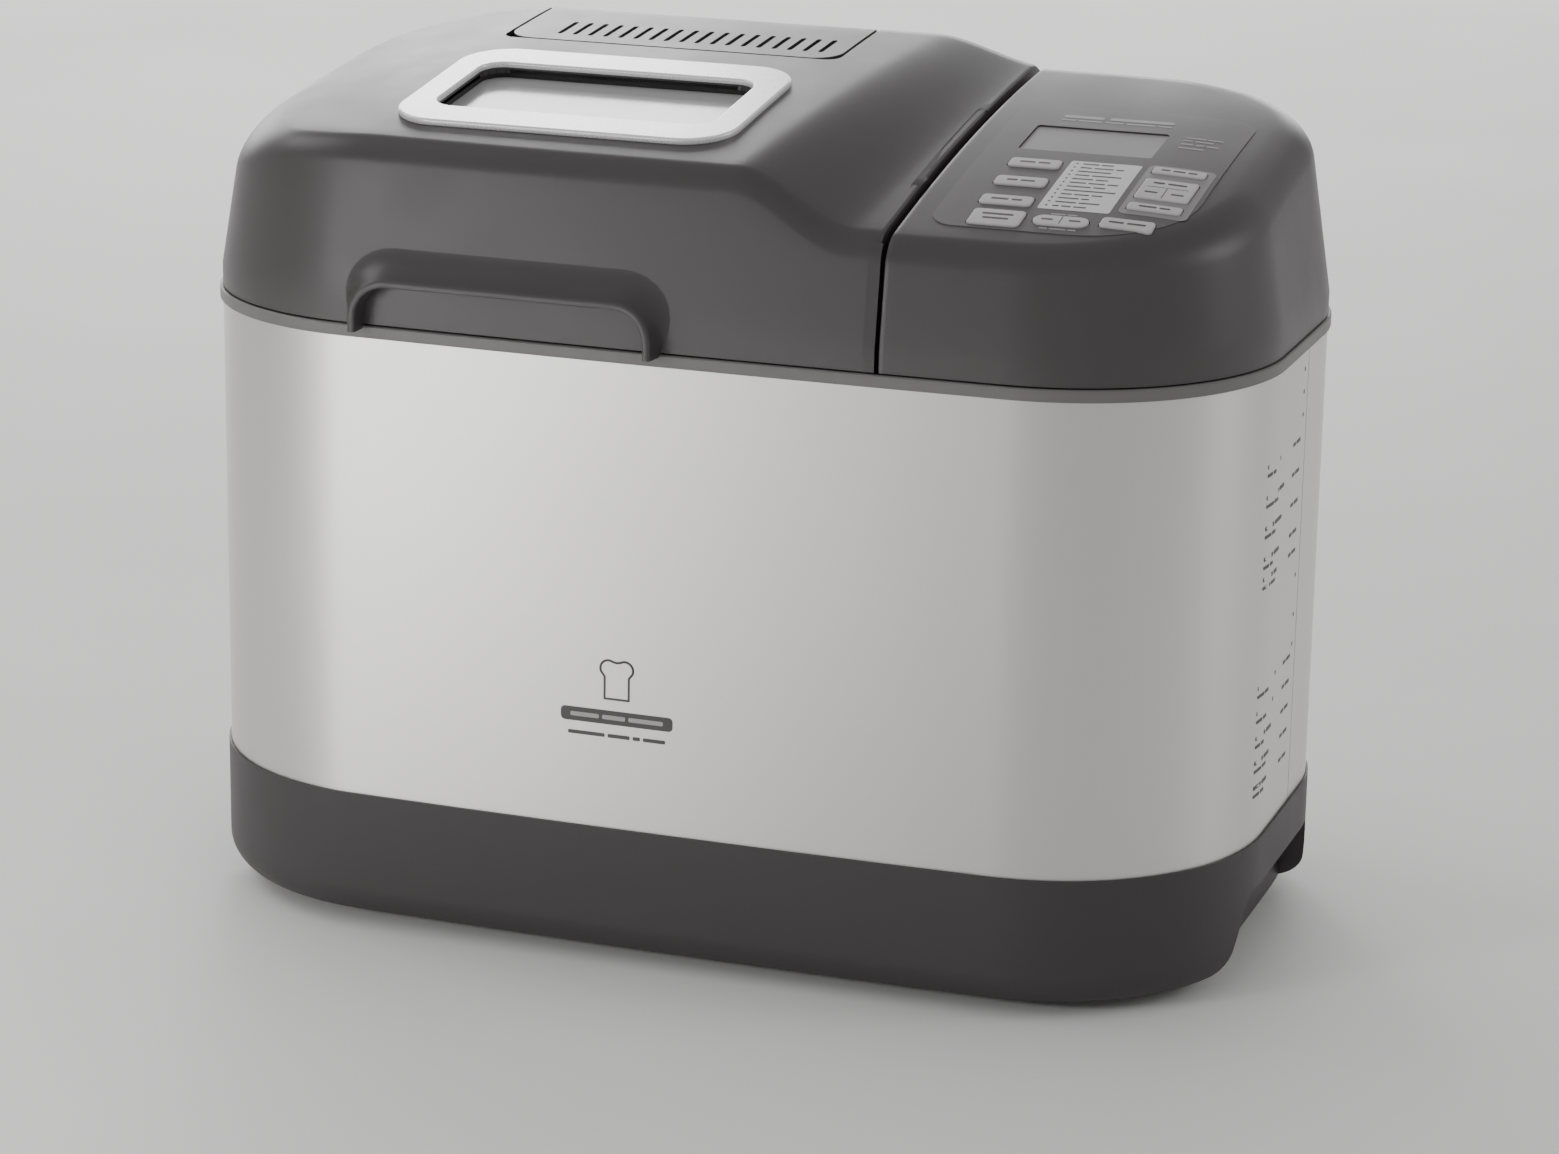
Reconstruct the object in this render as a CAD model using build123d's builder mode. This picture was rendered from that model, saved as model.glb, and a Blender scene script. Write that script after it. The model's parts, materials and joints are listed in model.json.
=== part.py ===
"""Bread machine: a steel-sleeved body with a hinged viewing lid, a fruit and nut dispenser,
a sloping control panel, a lift-out pan with a kneading paddle, and a belt drive."""

from build123d import *
from math import asin, cos, sin
import os

os.makedirs("parts", exist_ok=True)

# ---------------------------------------------------------------- driving dimensions (mm)
HALF_W = 215.0          # steel sleeve, half the width
HALF_D = 121.0          # steel sleeve, half the depth at the middle
BOW_R = 5000.0          # the long sides are very slightly crowned
CORNER_R = 86.0         # plan radius of the four corners
SHEET = 0.8             # steel sheet thickness
WALL = 2.6              # moulded wall thickness

FOOT_H = 4.0            # height of the rubber feet
BASE_TOP = 56.0         # top edge of the base tray
LEDGE_Z = 50.0          # ledge inside the base tray that carries sleeve and chassis
STEEL_TOP = 240.0       # top edge of the steel sleeve
DECK_TOP = 244.7        # top of the trim band round the deck
COVER_Z = 245.3         # lower edge of the lid and of the control panel
WALL_TOP = 253.0        # the cover walls are upright up to here, then lean in
LEAN = 16.0             # how far the cover walls lean in over LEAN_H
LEAN_H = 100.0

LID_EDGE_X = 81.0       # seam between lid and control panel, lid side
PANEL_EDGE_X = 83.5     # the same, panel side

PAN_X, PAN_Y = -67.0, -4.0          # axis of pan, paddle and drive shaft
MOTOR_X = 135.0                     # axis of the motor, at PAN_Y
HINGE_Y, HINGE_Z = 127.0, 250.0     # lid hinge axis
HINGE_XS = (-127.0, -7.0)           # middles of the two hinges
REAR_Y = 131.0                      # hinge rail and handle both reach this far out
FINGER_Y = 131.0


def outline(inset=0.0):
    """Plan outline of the body, drawn inset from the outer face of the steel sleeve."""
    w = HALF_W - inset
    d = HALF_D - inset
    end = d - w * w / (2 * BOW_R)
    with BuildSketch() as plan:
        with BuildLine():
            ThreePointArc((-w, -end), (0, -d), (w, -end))
            Line((w, -end), (w, end))
            ThreePointArc((w, end), (0, d), (-w, end))
            Line((-w, end), (-w, -end))
        make_face()
        fillet(plan.vertices(), CORNER_R - inset)
    return plan.sketch


def finish(piece, name):
    """Label a finished piece and write it."""
    piece.part.label = name
    export_step(piece.part, f"parts/{name}.step")


# ---------------------------------------------------------------- shape of the covers
def ease(t):
    t = min(max(t, 0.0), 1.0)
    return t * t * (3 - 2 * t)


def panel_height(x, y):
    """Top surface of the control panel."""
    rear_fall = 0.010 * max(0.0, y - 80) ** 2
    end_fall = 0.0012 * max(0.0, x - 150) ** 2
    return 316.5 + 0.158 * y - 0.00043 * y * y - rear_fall - end_fall


def lid_height(x, y):
    """Top surface of the lid: a high plateau that steps down to the panel in an S."""
    rear_fall = 0.010 * max(0.0, y - 80) ** 2
    end_fall = 0.0021 * max(0.0, -120 - x) ** 2
    plateau = 330.3 + 0.118 * y - 0.00028 * y * y - rear_fall
    fold_x = 46 + 16 * (y + 105) / 180
    step = ease(((x - fold_x) / 24 + 1) / 2)
    return plateau * (1 - step) + (panel_height(0, y) + 1) * step - end_fall


def crown(height, drop):
    """Solid that lies under a cover's top surface, lowered by drop."""
    rows = [
        [(x, y, height(x, y) - drop) for y in range(-130, 131, 10)]
        for x in range(-224, 225, 8)
    ]
    return Solid.extrude(Face.make_surface_from_array_of_points(rows, tol=0.05), Vector(0, 0, -140))


def cover_block(height, inset, drop, z_low, x_low, x_high):
    """Solid block of a cover: leaning walls, curved top, cut to a stretch of the width."""
    with BuildPart() as block:
        with BuildSketch(Plane.XY.offset(z_low)):
            add(outline(inset))
        extrude(amount=WALL_TOP - z_low)
        with BuildSketch(Plane.XY.offset(WALL_TOP)):
            add(outline(inset))
        with BuildSketch(Plane.XY.offset(WALL_TOP + LEAN_H)):
            add(outline(inset + LEAN))
        loft()
        add(crown(height, drop), mode=Mode.INTERSECT)
        with BuildSketch(Plane.XY.offset(z_low)):
            with Locations(((x_low + x_high) / 2, 0)):
                Rectangle(x_high - x_low, 4 * HALF_D)
        extrude(amount=2 * LEAN_H, mode=Mode.INTERSECT)
    return block.part


def surface_plane(height, x, y, lift=0.0):
    """Plane that touches a cover's top at (x, y), raised by lift along its normal."""
    slope_x = height(x + 0.5, y) - height(x - 0.5, y)
    slope_y = height(x, y + 0.5) - height(x, y - 0.5)
    plane = Plane(origin=(x, y, height(x, y)), x_dir=(1, 0, slope_x), z_dir=(-slope_x, -slope_y, 1))
    return plane.offset(lift)


# ================================================================ base
RECESS_X = 201.0        # back wall of the finger recess in each end
RECESS_TOP = 36.5
POST_XY = [(x, y) for x in (-170, 170) for y in (-66, 66)] + [(30, -100), (30, 100)]
FOOT_XY = [(x, y) for x in (-150, 150) for y in (-82, 82)]
GLAND_X, GLAND_Z = 120.0, 28.0
GLAND_HOLE_R = 8.0      # hole in the tray for the cord gland
GLAND_FLANGE_R = 11.0
CORD_HOLE_R = 3.6       # clear way for a mains cord
SCREW_R = 1.45
SCREW_TIP_Z = 38.0      # the chassis screws reach down to here
POST_R = 5.0


def recess_outline(grow):
    """Side view of a finger recess: straight top, flaring to the bottom edge."""
    with BuildSketch() as side:
        with BuildLine():
            Polyline(
                (-68 - grow, 0), (68 + grow, 0), (48 + grow, RECESS_TOP + grow),
                (-48 - grow, RECESS_TOP + grow), close=True,
            )
        make_face()
        fillet(side.vertices().group_by(Axis.Y)[-1], 8)
    return side.sketch


with BuildPart() as base_hollow:
    with BuildSketch(Plane.XY.offset(FOOT_H + WALL)):
        add(outline(1.5))
    extrude(amount=BASE_TOP)
    fillet(base_hollow.faces().sort_by(Axis.Z)[0].edges(), 11)
    for side in (-1, 1):
        with BuildSketch(Plane.YZ.offset(side * (RECESS_X - WALL))):
            add(recess_outline(WALL))
        extrude(amount=side * 30, mode=Mode.SUBTRACT)

with BuildPart() as base_tray:
    with BuildSketch(Plane.XY.offset(FOOT_H)):
        add(outline(-1))
    extrude(amount=BASE_TOP - FOOT_H)
    fillet(base_tray.faces().sort_by(Axis.Z)[0].edges(), 13)
    add(base_hollow.part, mode=Mode.SUBTRACT)
    for side in (-1, 1):
        with BuildSketch(Plane.YZ.offset(side * RECESS_X)):
            add(recess_outline(0))
        extrude(amount=side * 30, mode=Mode.SUBTRACT)
    with BuildSketch(Plane.XY.offset(LEDGE_Z)):
        add(outline(-0.15))
    extrude(amount=BASE_TOP, mode=Mode.SUBTRACT)
    with BuildSketch(Plane.XY.offset(FOOT_H + 1)):
        with Locations(*POST_XY):
            Circle(POST_R)
    extrude(amount=LEDGE_Z - FOOT_H - 1)
    with BuildSketch(Plane.XY.offset(SCREW_TIP_Z - 2)):
        with Locations(*POST_XY):
            Circle(SCREW_R + 0.05)
    extrude(amount=LEDGE_Z - SCREW_TIP_Z + 2, mode=Mode.SUBTRACT)
    with BuildSketch(Plane.XY):
        with Locations(*FOOT_XY):
            Circle(3.1)
        with Locations((MOTOR_X - 30, PAN_Y)):
            with GridLocations(9, 50, 7, 2):
                SlotOverall(32, 3.4, rotation=90)
    extrude(amount=FOOT_H + WALL + 1, mode=Mode.SUBTRACT)
    with BuildSketch(Plane.XZ.offset(-HALF_D + 20)):
        with Locations((GLAND_X, GLAND_Z)):
            Circle(GLAND_HOLE_R)
    extrude(amount=-40, mode=Mode.SUBTRACT)
finish(base_tray, "base_tray")

with BuildPart() as rubber_feet:
    with BuildSketch(Plane.XY):
        with Locations(*FOOT_XY):
            Circle(11)
    extrude(amount=FOOT_H)
    with BuildSketch(Plane.XY.offset(FOOT_H)):
        with Locations(*FOOT_XY):
            Circle(3)
    extrude(amount=WALL)
    with BuildSketch(Plane.XY.offset(FOOT_H + WALL)):
        with Locations(*FOOT_XY):
            Circle(4.4)
    extrude(amount=2)
finish(rubber_feet, "rubber_feet")

with BuildPart() as cord_gland:
    with BuildSketch(Plane.XZ.offset(-HALF_D + 9)):
        with Locations((GLAND_X, GLAND_Z)):
            Circle(GLAND_HOLE_R - 0.1)
    extrude(amount=-14)
    with BuildSketch(Plane.XZ.offset(-HALF_D + 9)):
        with Locations((GLAND_X, GLAND_Z)):
            Circle(GLAND_FLANGE_R)
    extrude(amount=4)
    with BuildSketch(Plane.XZ.offset(-HALF_D - 5)):
        with Locations((GLAND_X, GLAND_Z)):
            Circle(GLAND_FLANGE_R - 0.5)
    extrude(amount=-2.4)
    with BuildSketch(Plane.XZ.offset(-HALF_D + 20)):
        with Locations((GLAND_X, GLAND_Z)):
            Circle(CORD_HOLE_R)
    extrude(amount=-40, mode=Mode.SUBTRACT)
finish(cord_gland, "cord_gland")

# ================================================================ chassis and sleeve
PLATE_TOP = LEDGE_Z + 1.2

with BuildPart() as chassis_plate:
    with BuildSketch(Plane.XY.offset(LEDGE_Z)):
        add(outline(2.2))
        with Locations((PAN_X, PAN_Y)):
            Circle(14.6, mode=Mode.SUBTRACT)
        with Locations((MOTOR_X, PAN_Y)):
            Circle(12, mode=Mode.SUBTRACT)
        with Locations(*POST_XY):
            Circle(1.8, mode=Mode.SUBTRACT)
        with Locations((MOTOR_X, PAN_Y)):
            with PolarLocations(24, 6):
                SlotOverall(14, 5, mode=Mode.SUBTRACT)
    extrude(amount=PLATE_TOP - LEDGE_Z)
finish(chassis_plate, "chassis_plate")

with BuildPart() as chassis_screws:
    with BuildSketch(Plane.XY.offset(SCREW_TIP_Z)):
        with Locations(*POST_XY):
            Circle(SCREW_R)
    extrude(amount=PLATE_TOP - SCREW_TIP_Z)
    with BuildSketch(Plane.XY.offset(PLATE_TOP)):
        with Locations(*POST_XY):
            Circle(3.2)
            Rectangle(4.4, 0.8, mode=Mode.SUBTRACT)
            Rectangle(0.8, 4.4, mode=Mode.SUBTRACT)
    extrude(amount=2)
finish(chassis_screws, "chassis_screws")

SHEET_SEAM_Y = 11.0     # where the front sleeve and the rear panel meet at each end
REAR_VENT_X = 118.0     # middle of both vent fields in the rear panel
REAR_VENT_HIGH, REAR_VENT_LOW = 200.0, 88.0

with BuildPart() as steel_wrap:
    with BuildSketch(Plane.XY.offset(LEDGE_Z)):
        add(outline(0))
        add(outline(SHEET), mode=Mode.SUBTRACT)
        with Locations((0, SHEET_SEAM_Y + HALF_D)):
            Rectangle(4 * HALF_W, 2 * HALF_D, mode=Mode.SUBTRACT)
    extrude(amount=STEEL_TOP - LEDGE_Z)
finish(steel_wrap, "steel_wrap")

with BuildPart() as rear_panel:
    with BuildSketch(Plane.XY.offset(LEDGE_Z)):
        add(outline(0))
        add(outline(SHEET), mode=Mode.SUBTRACT)
        with Locations((0, SHEET_SEAM_Y + 0.5 - HALF_D)):
            Rectangle(4 * HALF_W, 2 * HALF_D, mode=Mode.SUBTRACT)
    extrude(amount=STEEL_TOP - LEDGE_Z)
    with BuildSketch(Plane.XZ.offset(-HALF_D + 20)):
        with Locations((REAR_VENT_X, REAR_VENT_HIGH)):
            with GridLocations(9, 1, 8, 1):
                SlotOverall(34, 3.6, rotation=90)
        with Locations((REAR_VENT_X, REAR_VENT_LOW)):
            with GridLocations(9, 1, 8, 1):
                SlotOverall(26, 3.6, rotation=90)
    extrude(amount=-40, mode=Mode.SUBTRACT)
finish(rear_panel, "rear_panel")

# ================================================================ deck
OVEN_W, OVEN_D, OVEN_R = 230.0, 165.0, 20.0

with BuildPart() as rim_deck:
    with BuildSketch(Plane.XY.offset(STEEL_TOP)):
        add(outline(1.05))
        with Locations((PAN_X, PAN_Y)):
            RectangleRounded(OVEN_W + 6, OVEN_D + 6, OVEN_R + 3, mode=Mode.SUBTRACT)
        with Locations((138, 0)):
            RectangleRounded(84, 150, 12, mode=Mode.SUBTRACT)
    extrude(amount=3.2)
    with BuildSketch(Plane.XY.offset(STEEL_TOP - 8)):
        add(outline(1.05))
        add(outline(3.2), mode=Mode.SUBTRACT)
    extrude(amount=8)
finish(rim_deck, "rim_deck")

with BuildPart() as trim_band:
    with BuildSketch(Plane.XY.offset(STEEL_TOP)):
        add(outline(-1.2))
        add(outline(1.0), mode=Mode.SUBTRACT)
    extrude(amount=DECK_TOP - STEEL_TOP)
    chamfer(trim_band.faces().sort_by(Axis.Z)[-1].outer_wire().edges(), 0.5)
finish(trim_band, "trim_band")

# ================================================================ lid hinge
KNUCKLE_R = 4.0
PIN_R = 2.0
RUN_R = PIN_R + 0.05

with BuildPart() as hinge_bracket:
    with BuildSketch(Plane.XY.offset(STEEL_TOP - 10)):
        with Locations((sum(HINGE_XS) / 2, HALF_D - 5)):
            Rectangle(168, 2 * (REAR_Y - HALF_D + 5))
        add(outline(-1.3), mode=Mode.SUBTRACT)
        with Locations((0, -HALF_D)):
            Rectangle(4 * HALF_W, 3 * HALF_D, mode=Mode.SUBTRACT)
    extrude(amount=14.4)
    for hinge_x in HINGE_XS:
        with BuildSketch(Plane.YZ.offset(hinge_x - 5.7)):
            with Locations((HINGE_Y, HINGE_Z)):
                Circle(KNUCKLE_R)
            with Locations((HINGE_Y, (HINGE_Z + STEEL_TOP) / 2)):
                Rectangle(2 * KNUCKLE_R, HINGE_Z - STEEL_TOP)
        extrude(amount=11.4)
        with BuildSketch(Plane.YZ.offset(hinge_x - 20)):
            with Locations((HINGE_Y, HINGE_Z)):
                Circle(RUN_R)
        extrude(amount=40, mode=Mode.SUBTRACT)
finish(hinge_bracket, "hinge_bracket")

with BuildPart() as hinge_pins:
    for hinge_x in HINGE_XS:
        with BuildSketch(Plane.YZ.offset(hinge_x - 15)):
            with Locations((HINGE_Y, HINGE_Z)):
                Circle(PIN_R)
        extrude(amount=30)
finish(hinge_pins, "hinge_pins")

# ================================================================ lid
WINDOW_X, WINDOW_Y = -59.0, -42.0       # middle of the viewing window
BEZEL_W, BEZEL_D = 139.0, 95.0
VIEW_W, VIEW_D = 114.0, 57.0            # clear opening
SLEEVE_WALL = 3.0
SLEEVE_LOW = 4.2        # the sleeve round the window ends this far under the lid's top
VENT_X0, VENT_X1 = -127.5, 13.9         # dispenser lid, in plan
VENT_Y0, VENT_Y1 = 31.0, 83.5
VENT_GAP = 1.5
VENT_REAR = 92.0
TRUNNION_Y, TRUNNION_Z = 87.0, 334.4    # dispenser lid hinge axis
LINER_TOP = 292.0
window_plane = surface_plane(lid_height, WINDOW_X, WINDOW_Y)

lid_block = cover_block(lid_height, 0, 0, COVER_Z, -2 * HALF_W, LID_EDGE_X)
lid_hollow = cover_block(lid_height, WALL, WALL, COVER_Z - 1, -2 * HALF_W, LID_EDGE_X - WALL)
lid_skin = lid_block - lid_hollow

with BuildPart() as lid_cover:
    add(lid_skin)
    # hinge ears
    for hinge_x in HINGE_XS:
        for side in (-1, 1):
            with BuildSketch(Plane.YZ.offset(hinge_x + side * 6)):
                with Locations((HINGE_Y, HINGE_Z)):
                    Circle(KNUCKLE_R)
                with Locations(((HINGE_Y + HALF_D - 2.4) / 2, HINGE_Z)):
                    Rectangle(HINGE_Y - HALF_D + 2.4, 2 * KNUCKLE_R)
            extrude(amount=side * 8)
        with BuildSketch(Plane.YZ.offset(hinge_x - 20)):
            with Locations((HINGE_Y, HINGE_Z)):
                Circle(RUN_R)
        extrude(amount=40, mode=Mode.SUBTRACT)
    # sleeve that leads down from the window, and the seat of its bezel
    with BuildSketch(window_plane.offset(-SLEEVE_LOW)):
        RectangleRounded(VIEW_W + 2 * SLEEVE_WALL, VIEW_D + 2 * SLEEVE_WALL, 12)
    extrude(amount=SLEEVE_LOW - 1)
    with BuildSketch(window_plane.offset(-0.8)):
        RectangleRounded(BEZEL_W + 0.2, BEZEL_D + 0.2, 20)
    extrude(amount=8, mode=Mode.SUBTRACT)
    with BuildSketch(window_plane.offset(-20)):
        RectangleRounded(VIEW_W, VIEW_D, 9)
    extrude(amount=30, mode=Mode.SUBTRACT)
    # opening for the dispenser lid
    with BuildSketch(Plane.XY.offset(310)):
        with Locations(((VENT_X0 + VENT_X1) / 2, (VENT_Y0 + VENT_REAR) / 2 - VENT_GAP / 2)):
            Rectangle(VENT_X1 - VENT_X0 + 2 * VENT_GAP, VENT_REAR - VENT_Y0 + VENT_GAP)
    extrude(amount=60, mode=Mode.SUBTRACT)
    fillet(
        lid_cover.edges().filter_by(Axis.Z).filter_by_position(Axis.Y, 29, 30).group_by(Axis.Y)[0], 12
    )
    # lugs that carry the dispenser lid
    for lug_x in (-118, -2):
        with BuildSketch(Plane.YZ.offset(lug_x)):
            with Locations((TRUNNION_Y, TRUNNION_Z)):
                Circle(2.6)
            with Locations((TRUNNION_Y + 3.5, TRUNNION_Z)):
                Rectangle(7, 5.2)
            with Locations((TRUNNION_Y, TRUNNION_Z)):
                Circle(1.35, mode=Mode.SUBTRACT)
        extrude(amount=6)
finish(lid_cover, "lid_cover")

SLOT_COUNT = 18

with BuildPart() as dispenser_lid:
    add(lid_skin)
    with BuildSketch(Plane.XY.offset(310)):
        with Locations(((VENT_X0 + VENT_X1) / 2, (VENT_Y0 + VENT_Y1) / 2)):
            Rectangle(VENT_X1 - VENT_X0, VENT_Y1 - VENT_Y0)
    extrude(amount=60, mode=Mode.INTERSECT)
    fillet(dispenser_lid.edges().filter_by(Axis.Z).group_by(Axis.Y)[0], 11)
    with BuildSketch(Plane.XY.offset(310)):
        with Locations(((VENT_X0 + VENT_X1) / 2 + 5, 50)):
            with GridLocations(6.6, 1, SLOT_COUNT, 1):
                SlotOverall(20, 2.2, rotation=90)
    extrude(amount=60, mode=Mode.SUBTRACT)
    for arm_x in (-111, -9):
        with BuildSketch(Plane.YZ.offset(arm_x)):
            with Locations((TRUNNION_Y, TRUNNION_Z)):
                Circle(2.5)
            with Locations((TRUNNION_Y - 3, TRUNNION_Z + 0.9)):
                Rectangle(5, 3)
        extrude(amount=6)
    for arm_x, reach in ((-111, -6.5), (-3, 6.5)):
        with BuildSketch(Plane.YZ.offset(arm_x)):
            with Locations((TRUNNION_Y, TRUNNION_Z)):
                Circle(1.3)
        extrude(amount=reach)
finish(dispenser_lid, "dispenser_lid")

with BuildPart() as window_bezel:
    with BuildSketch(window_plane.offset(-0.8)):
        RectangleRounded(BEZEL_W, BEZEL_D, 20)
        RectangleRounded(VIEW_W + 0.4, VIEW_D + 0.4, 9, mode=Mode.SUBTRACT)
    extrude(amount=2.8)
    bezel_top = window_bezel.faces().filter_by(lambda f: f.normal_at().dot(window_plane.z_dir) > 0.99)[-1]
    chamfer(bezel_top.outer_wire().edges(), 1.2)
finish(window_bezel, "window_bezel")

with BuildPart() as window_glass:
    with BuildSketch(window_plane.offset(-SLEEVE_LOW - 3.1)):
        RectangleRounded(VIEW_W + 2 * SLEEVE_WALL, VIEW_D + 2 * SLEEVE_WALL, 12)
    extrude(amount=3)
finish(window_glass, "window_glass")

# handle: an arched lip low on the front of the lid
HANDLE_X0, HANDLE_X1 = -126.5, -2.0
HANDLE_LOW, HANDLE_HIGH = 243.6, 266.0
HANDLE_BAND = 7.0
handle_mid = (HANDLE_X0 + HANDLE_X1) / 2
handle_w = HANDLE_X1 - HANDLE_X0

with BuildPart() as lid_handle:
    with BuildSketch(Plane.XZ.offset(HALF_D - 4)):
        with Locations((handle_mid, HANDLE_HIGH - 30)):
            RectangleRounded(handle_w, 60, 14)
        with Locations((handle_mid, HANDLE_HIGH - HANDLE_BAND - 30)):
            RectangleRounded(handle_w - 2 * HANDLE_BAND, 60, 9, mode=Mode.SUBTRACT)
        with Locations((handle_mid, HANDLE_LOW - 40)):
            Rectangle(2 * handle_w, 80, mode=Mode.SUBTRACT)
    extrude(amount=FINGER_Y - HALF_D + 4)
    fillet(lid_handle.faces().sort_by(Axis.Y)[0].edges(), 2.4)
    add(lid_block, mode=Mode.SUBTRACT)
    with BuildSketch(Plane.XY.offset(HANDLE_LOW - 1)):
        add(outline(-1.6))
    extrude(amount=COVER_Z - HANDLE_LOW + 1.2, mode=Mode.SUBTRACT)
finish(lid_handle, "lid_handle")

# liner: a shallow metal dome inside the lid, over pan and oven
LINER_W, LINER_D = 242.0, 176.0
LINER_IN = 8.0                          # how much each way the dome narrows to its top
LINER_WALL = 1.2
FLAP_X0, FLAP_X1 = -106.0, -8.0         # chute opening in the liner
FLAP_Y0, FLAP_Y1 = 42.0, 68.0
PLUNGER_X, PLUNGER_Y = 12.0, 64.5
FLAP_AXIS_Y, FLAP_AXIS_Z = 70.5, 288.4  # spindle of the flap under the chute

with BuildPart() as lid_liner:
    with BuildSketch(Plane.XY.offset(COVER_Z + 1.3)):
        add(outline(WALL + 0.4))
        with Locations((LID_EDGE_X - WALL - 0.4 + HALF_W, 0)):
            Rectangle(2 * HALF_W, 4 * HALF_D, mode=Mode.SUBTRACT)
    extrude(amount=LINER_WALL)
    with BuildSketch(Plane.XY.offset(COVER_Z + 1.3)):
        with Locations((PAN_X, PAN_Y)):
            RectangleRounded(LINER_W, LINER_D, 26)
    with BuildSketch(Plane.XY.offset(LINER_TOP)):
        with Locations((PAN_X, PAN_Y)):
            RectangleRounded(LINER_W - 2 * LINER_IN, LINER_D - 2 * LINER_IN, 20)
    loft()
    with BuildSketch(Plane.XY.offset(COVER_Z + 1.3)):
        with Locations((PAN_X, PAN_Y)):
            RectangleRounded(LINER_W - 2 * LINER_WALL, LINER_D - 2 * LINER_WALL, 26 - LINER_WALL)
    with BuildSketch(Plane.XY.offset(LINER_TOP - LINER_WALL)):
        with Locations((PAN_X, PAN_Y)):
            RectangleRounded(
                LINER_W - 2 * LINER_IN - 2 * LINER_WALL, LINER_D - 2 * LINER_IN - 2 * LINER_WALL,
                20 - LINER_WALL,
            )
    loft(mode=Mode.SUBTRACT)
    with BuildSketch(Plane.XY.offset(LINER_TOP - 10)):
        with Locations((WINDOW_X, WINDOW_Y)):
            RectangleRounded(VIEW_W, VIEW_D, 10)
        with Locations(((FLAP_X0 + FLAP_X1) / 2, (FLAP_Y0 + FLAP_Y1) / 2)):
            Rectangle(FLAP_X1 - FLAP_X0, FLAP_Y1 - FLAP_Y0)
        with Locations((PLUNGER_X, PLUNGER_Y)):
            Circle(2)
    extrude(amount=20, mode=Mode.SUBTRACT)
    for lug_x in (-114.5, 18):
        with BuildSketch(Plane.YZ.offset(lug_x)):
            with Locations((FLAP_AXIS_Y, FLAP_AXIS_Z + 0.6)):
                Rectangle(5.4, 5)
            with Locations((FLAP_AXIS_Y, FLAP_AXIS_Z)):
                Circle(1.25, mode=Mode.SUBTRACT)
        extrude(amount=3)
finish(lid_liner, "lid_liner")

with BuildPart() as lid_seal:
    with BuildSketch(Plane.XY.offset(STEEL_TOP + 3.6)):
        with Locations((PAN_X, PAN_Y)):
            RectangleRounded(LINER_W + 12, LINER_D + 12, 32)
            RectangleRounded(LINER_W + 2, LINER_D + 2, 27, mode=Mode.SUBTRACT)
    extrude(amount=COVER_Z + 1.3 - STEEL_TOP - 3.6)
finish(lid_seal, "lid_seal")

with BuildPart() as inner_glass:
    with BuildSketch(Plane.XY.offset(LINER_TOP)):
        with Locations((WINDOW_X, WINDOW_Y)):
            RectangleRounded(VIEW_W + 14, VIEW_D + 14, 12)
    extrude(amount=3)
finish(inner_glass, "inner_glass")

HOPPER_X = (FLAP_X0 + FLAP_X1) / 2

with BuildPart() as dispenser_box:
    with BuildSketch(Plane.XY.offset(LINER_TOP + 0.1)):
        with Locations((HOPPER_X, 55)):
            RectangleRounded(103, 31, 4)
    with BuildSketch(Plane.XY.offset(329.5)):
        with Locations((HOPPER_X, 58)):
            RectangleRounded(113, 46, 6)
    loft()
    with BuildSketch(Plane.XY.offset(LINER_TOP)):
        with Locations((HOPPER_X, 55)):
            RectangleRounded(99, 27, 3)
    with BuildSketch(Plane.XY.offset(329.6)):
        with Locations((HOPPER_X, 58)):
            RectangleRounded(109, 42, 4)
    loft(mode=Mode.SUBTRACT)
finish(dispenser_box, "dispenser_box")

with BuildPart() as dispenser_flap:
    with BuildSketch(Plane.XY.offset(289.0)):
        with Locations((-49.5, 55.5)):
            Rectangle(121, 29)
    extrude(amount=1.4)
    with BuildSketch(Plane.YZ.offset(-110)):
        with Locations((FLAP_AXIS_Y, FLAP_AXIS_Z)):
            Circle(2.1)
    extrude(amount=121)
    with BuildSketch(Plane.YZ.offset(-114)):
        with Locations((FLAP_AXIS_Y, FLAP_AXIS_Z)):
            Circle(1.2)
    extrude(amount=134.5)
finish(dispenser_flap, "dispenser_flap")

SPRING_START = (11.8, FLAP_AXIS_Y, FLAP_AXIS_Z)

with BuildPart() as flap_spring:
    with BuildLine() as coil:
        Helix(pitch=1.1, height=5.5, radius=1.8, center=SPRING_START, direction=(1, 0, 0))
    with BuildSketch(Plane(origin=coil.line @ 0, z_dir=coil.line % 0)):
        Circle(0.35)
    sweep(is_frenet=True)
finish(flap_spring, "flap_spring")

with BuildPart() as solenoid:
    with BuildSketch(Plane.XY.offset(LINER_TOP + 0.1)):
        with Locations((PLUNGER_X, PLUNGER_Y)):
            Rectangle(20, 18)
            Circle(1.9, mode=Mode.SUBTRACT)
    extrude(amount=1.5)
    with BuildSketch(Plane.XY.offset(LINER_TOP + 1.6)):
        with Locations((PLUNGER_X, PLUNGER_Y)):
            Circle(8)
            Circle(1.9, mode=Mode.SUBTRACT)
    extrude(amount=20)
finish(solenoid, "solenoid")

with BuildPart() as solenoid_plunger:
    with BuildSketch(Plane.XY.offset(290.7)):
        with Locations((PLUNGER_X, PLUNGER_Y)):
            Circle(1.7)
    extrude(amount=30)
    with BuildSketch(Plane.XY.offset(LINER_TOP + 28)):
        with Locations((PLUNGER_X, PLUNGER_Y)):
            Circle(4)
    extrude(amount=2)
finish(solenoid_plunger, "solenoid_plunger")

# ================================================================ control panel
LABEL_T = 0.5
LCD_X, LCD_Y, LCD_W, LCD_D = 131.3, -5.8, 52.5, 28.0
KEY_GAP = 0.4
KEY_PROUD = 0.9
KEY_FOOT = 3.2          # the key's foot starts this far under the surface
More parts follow.
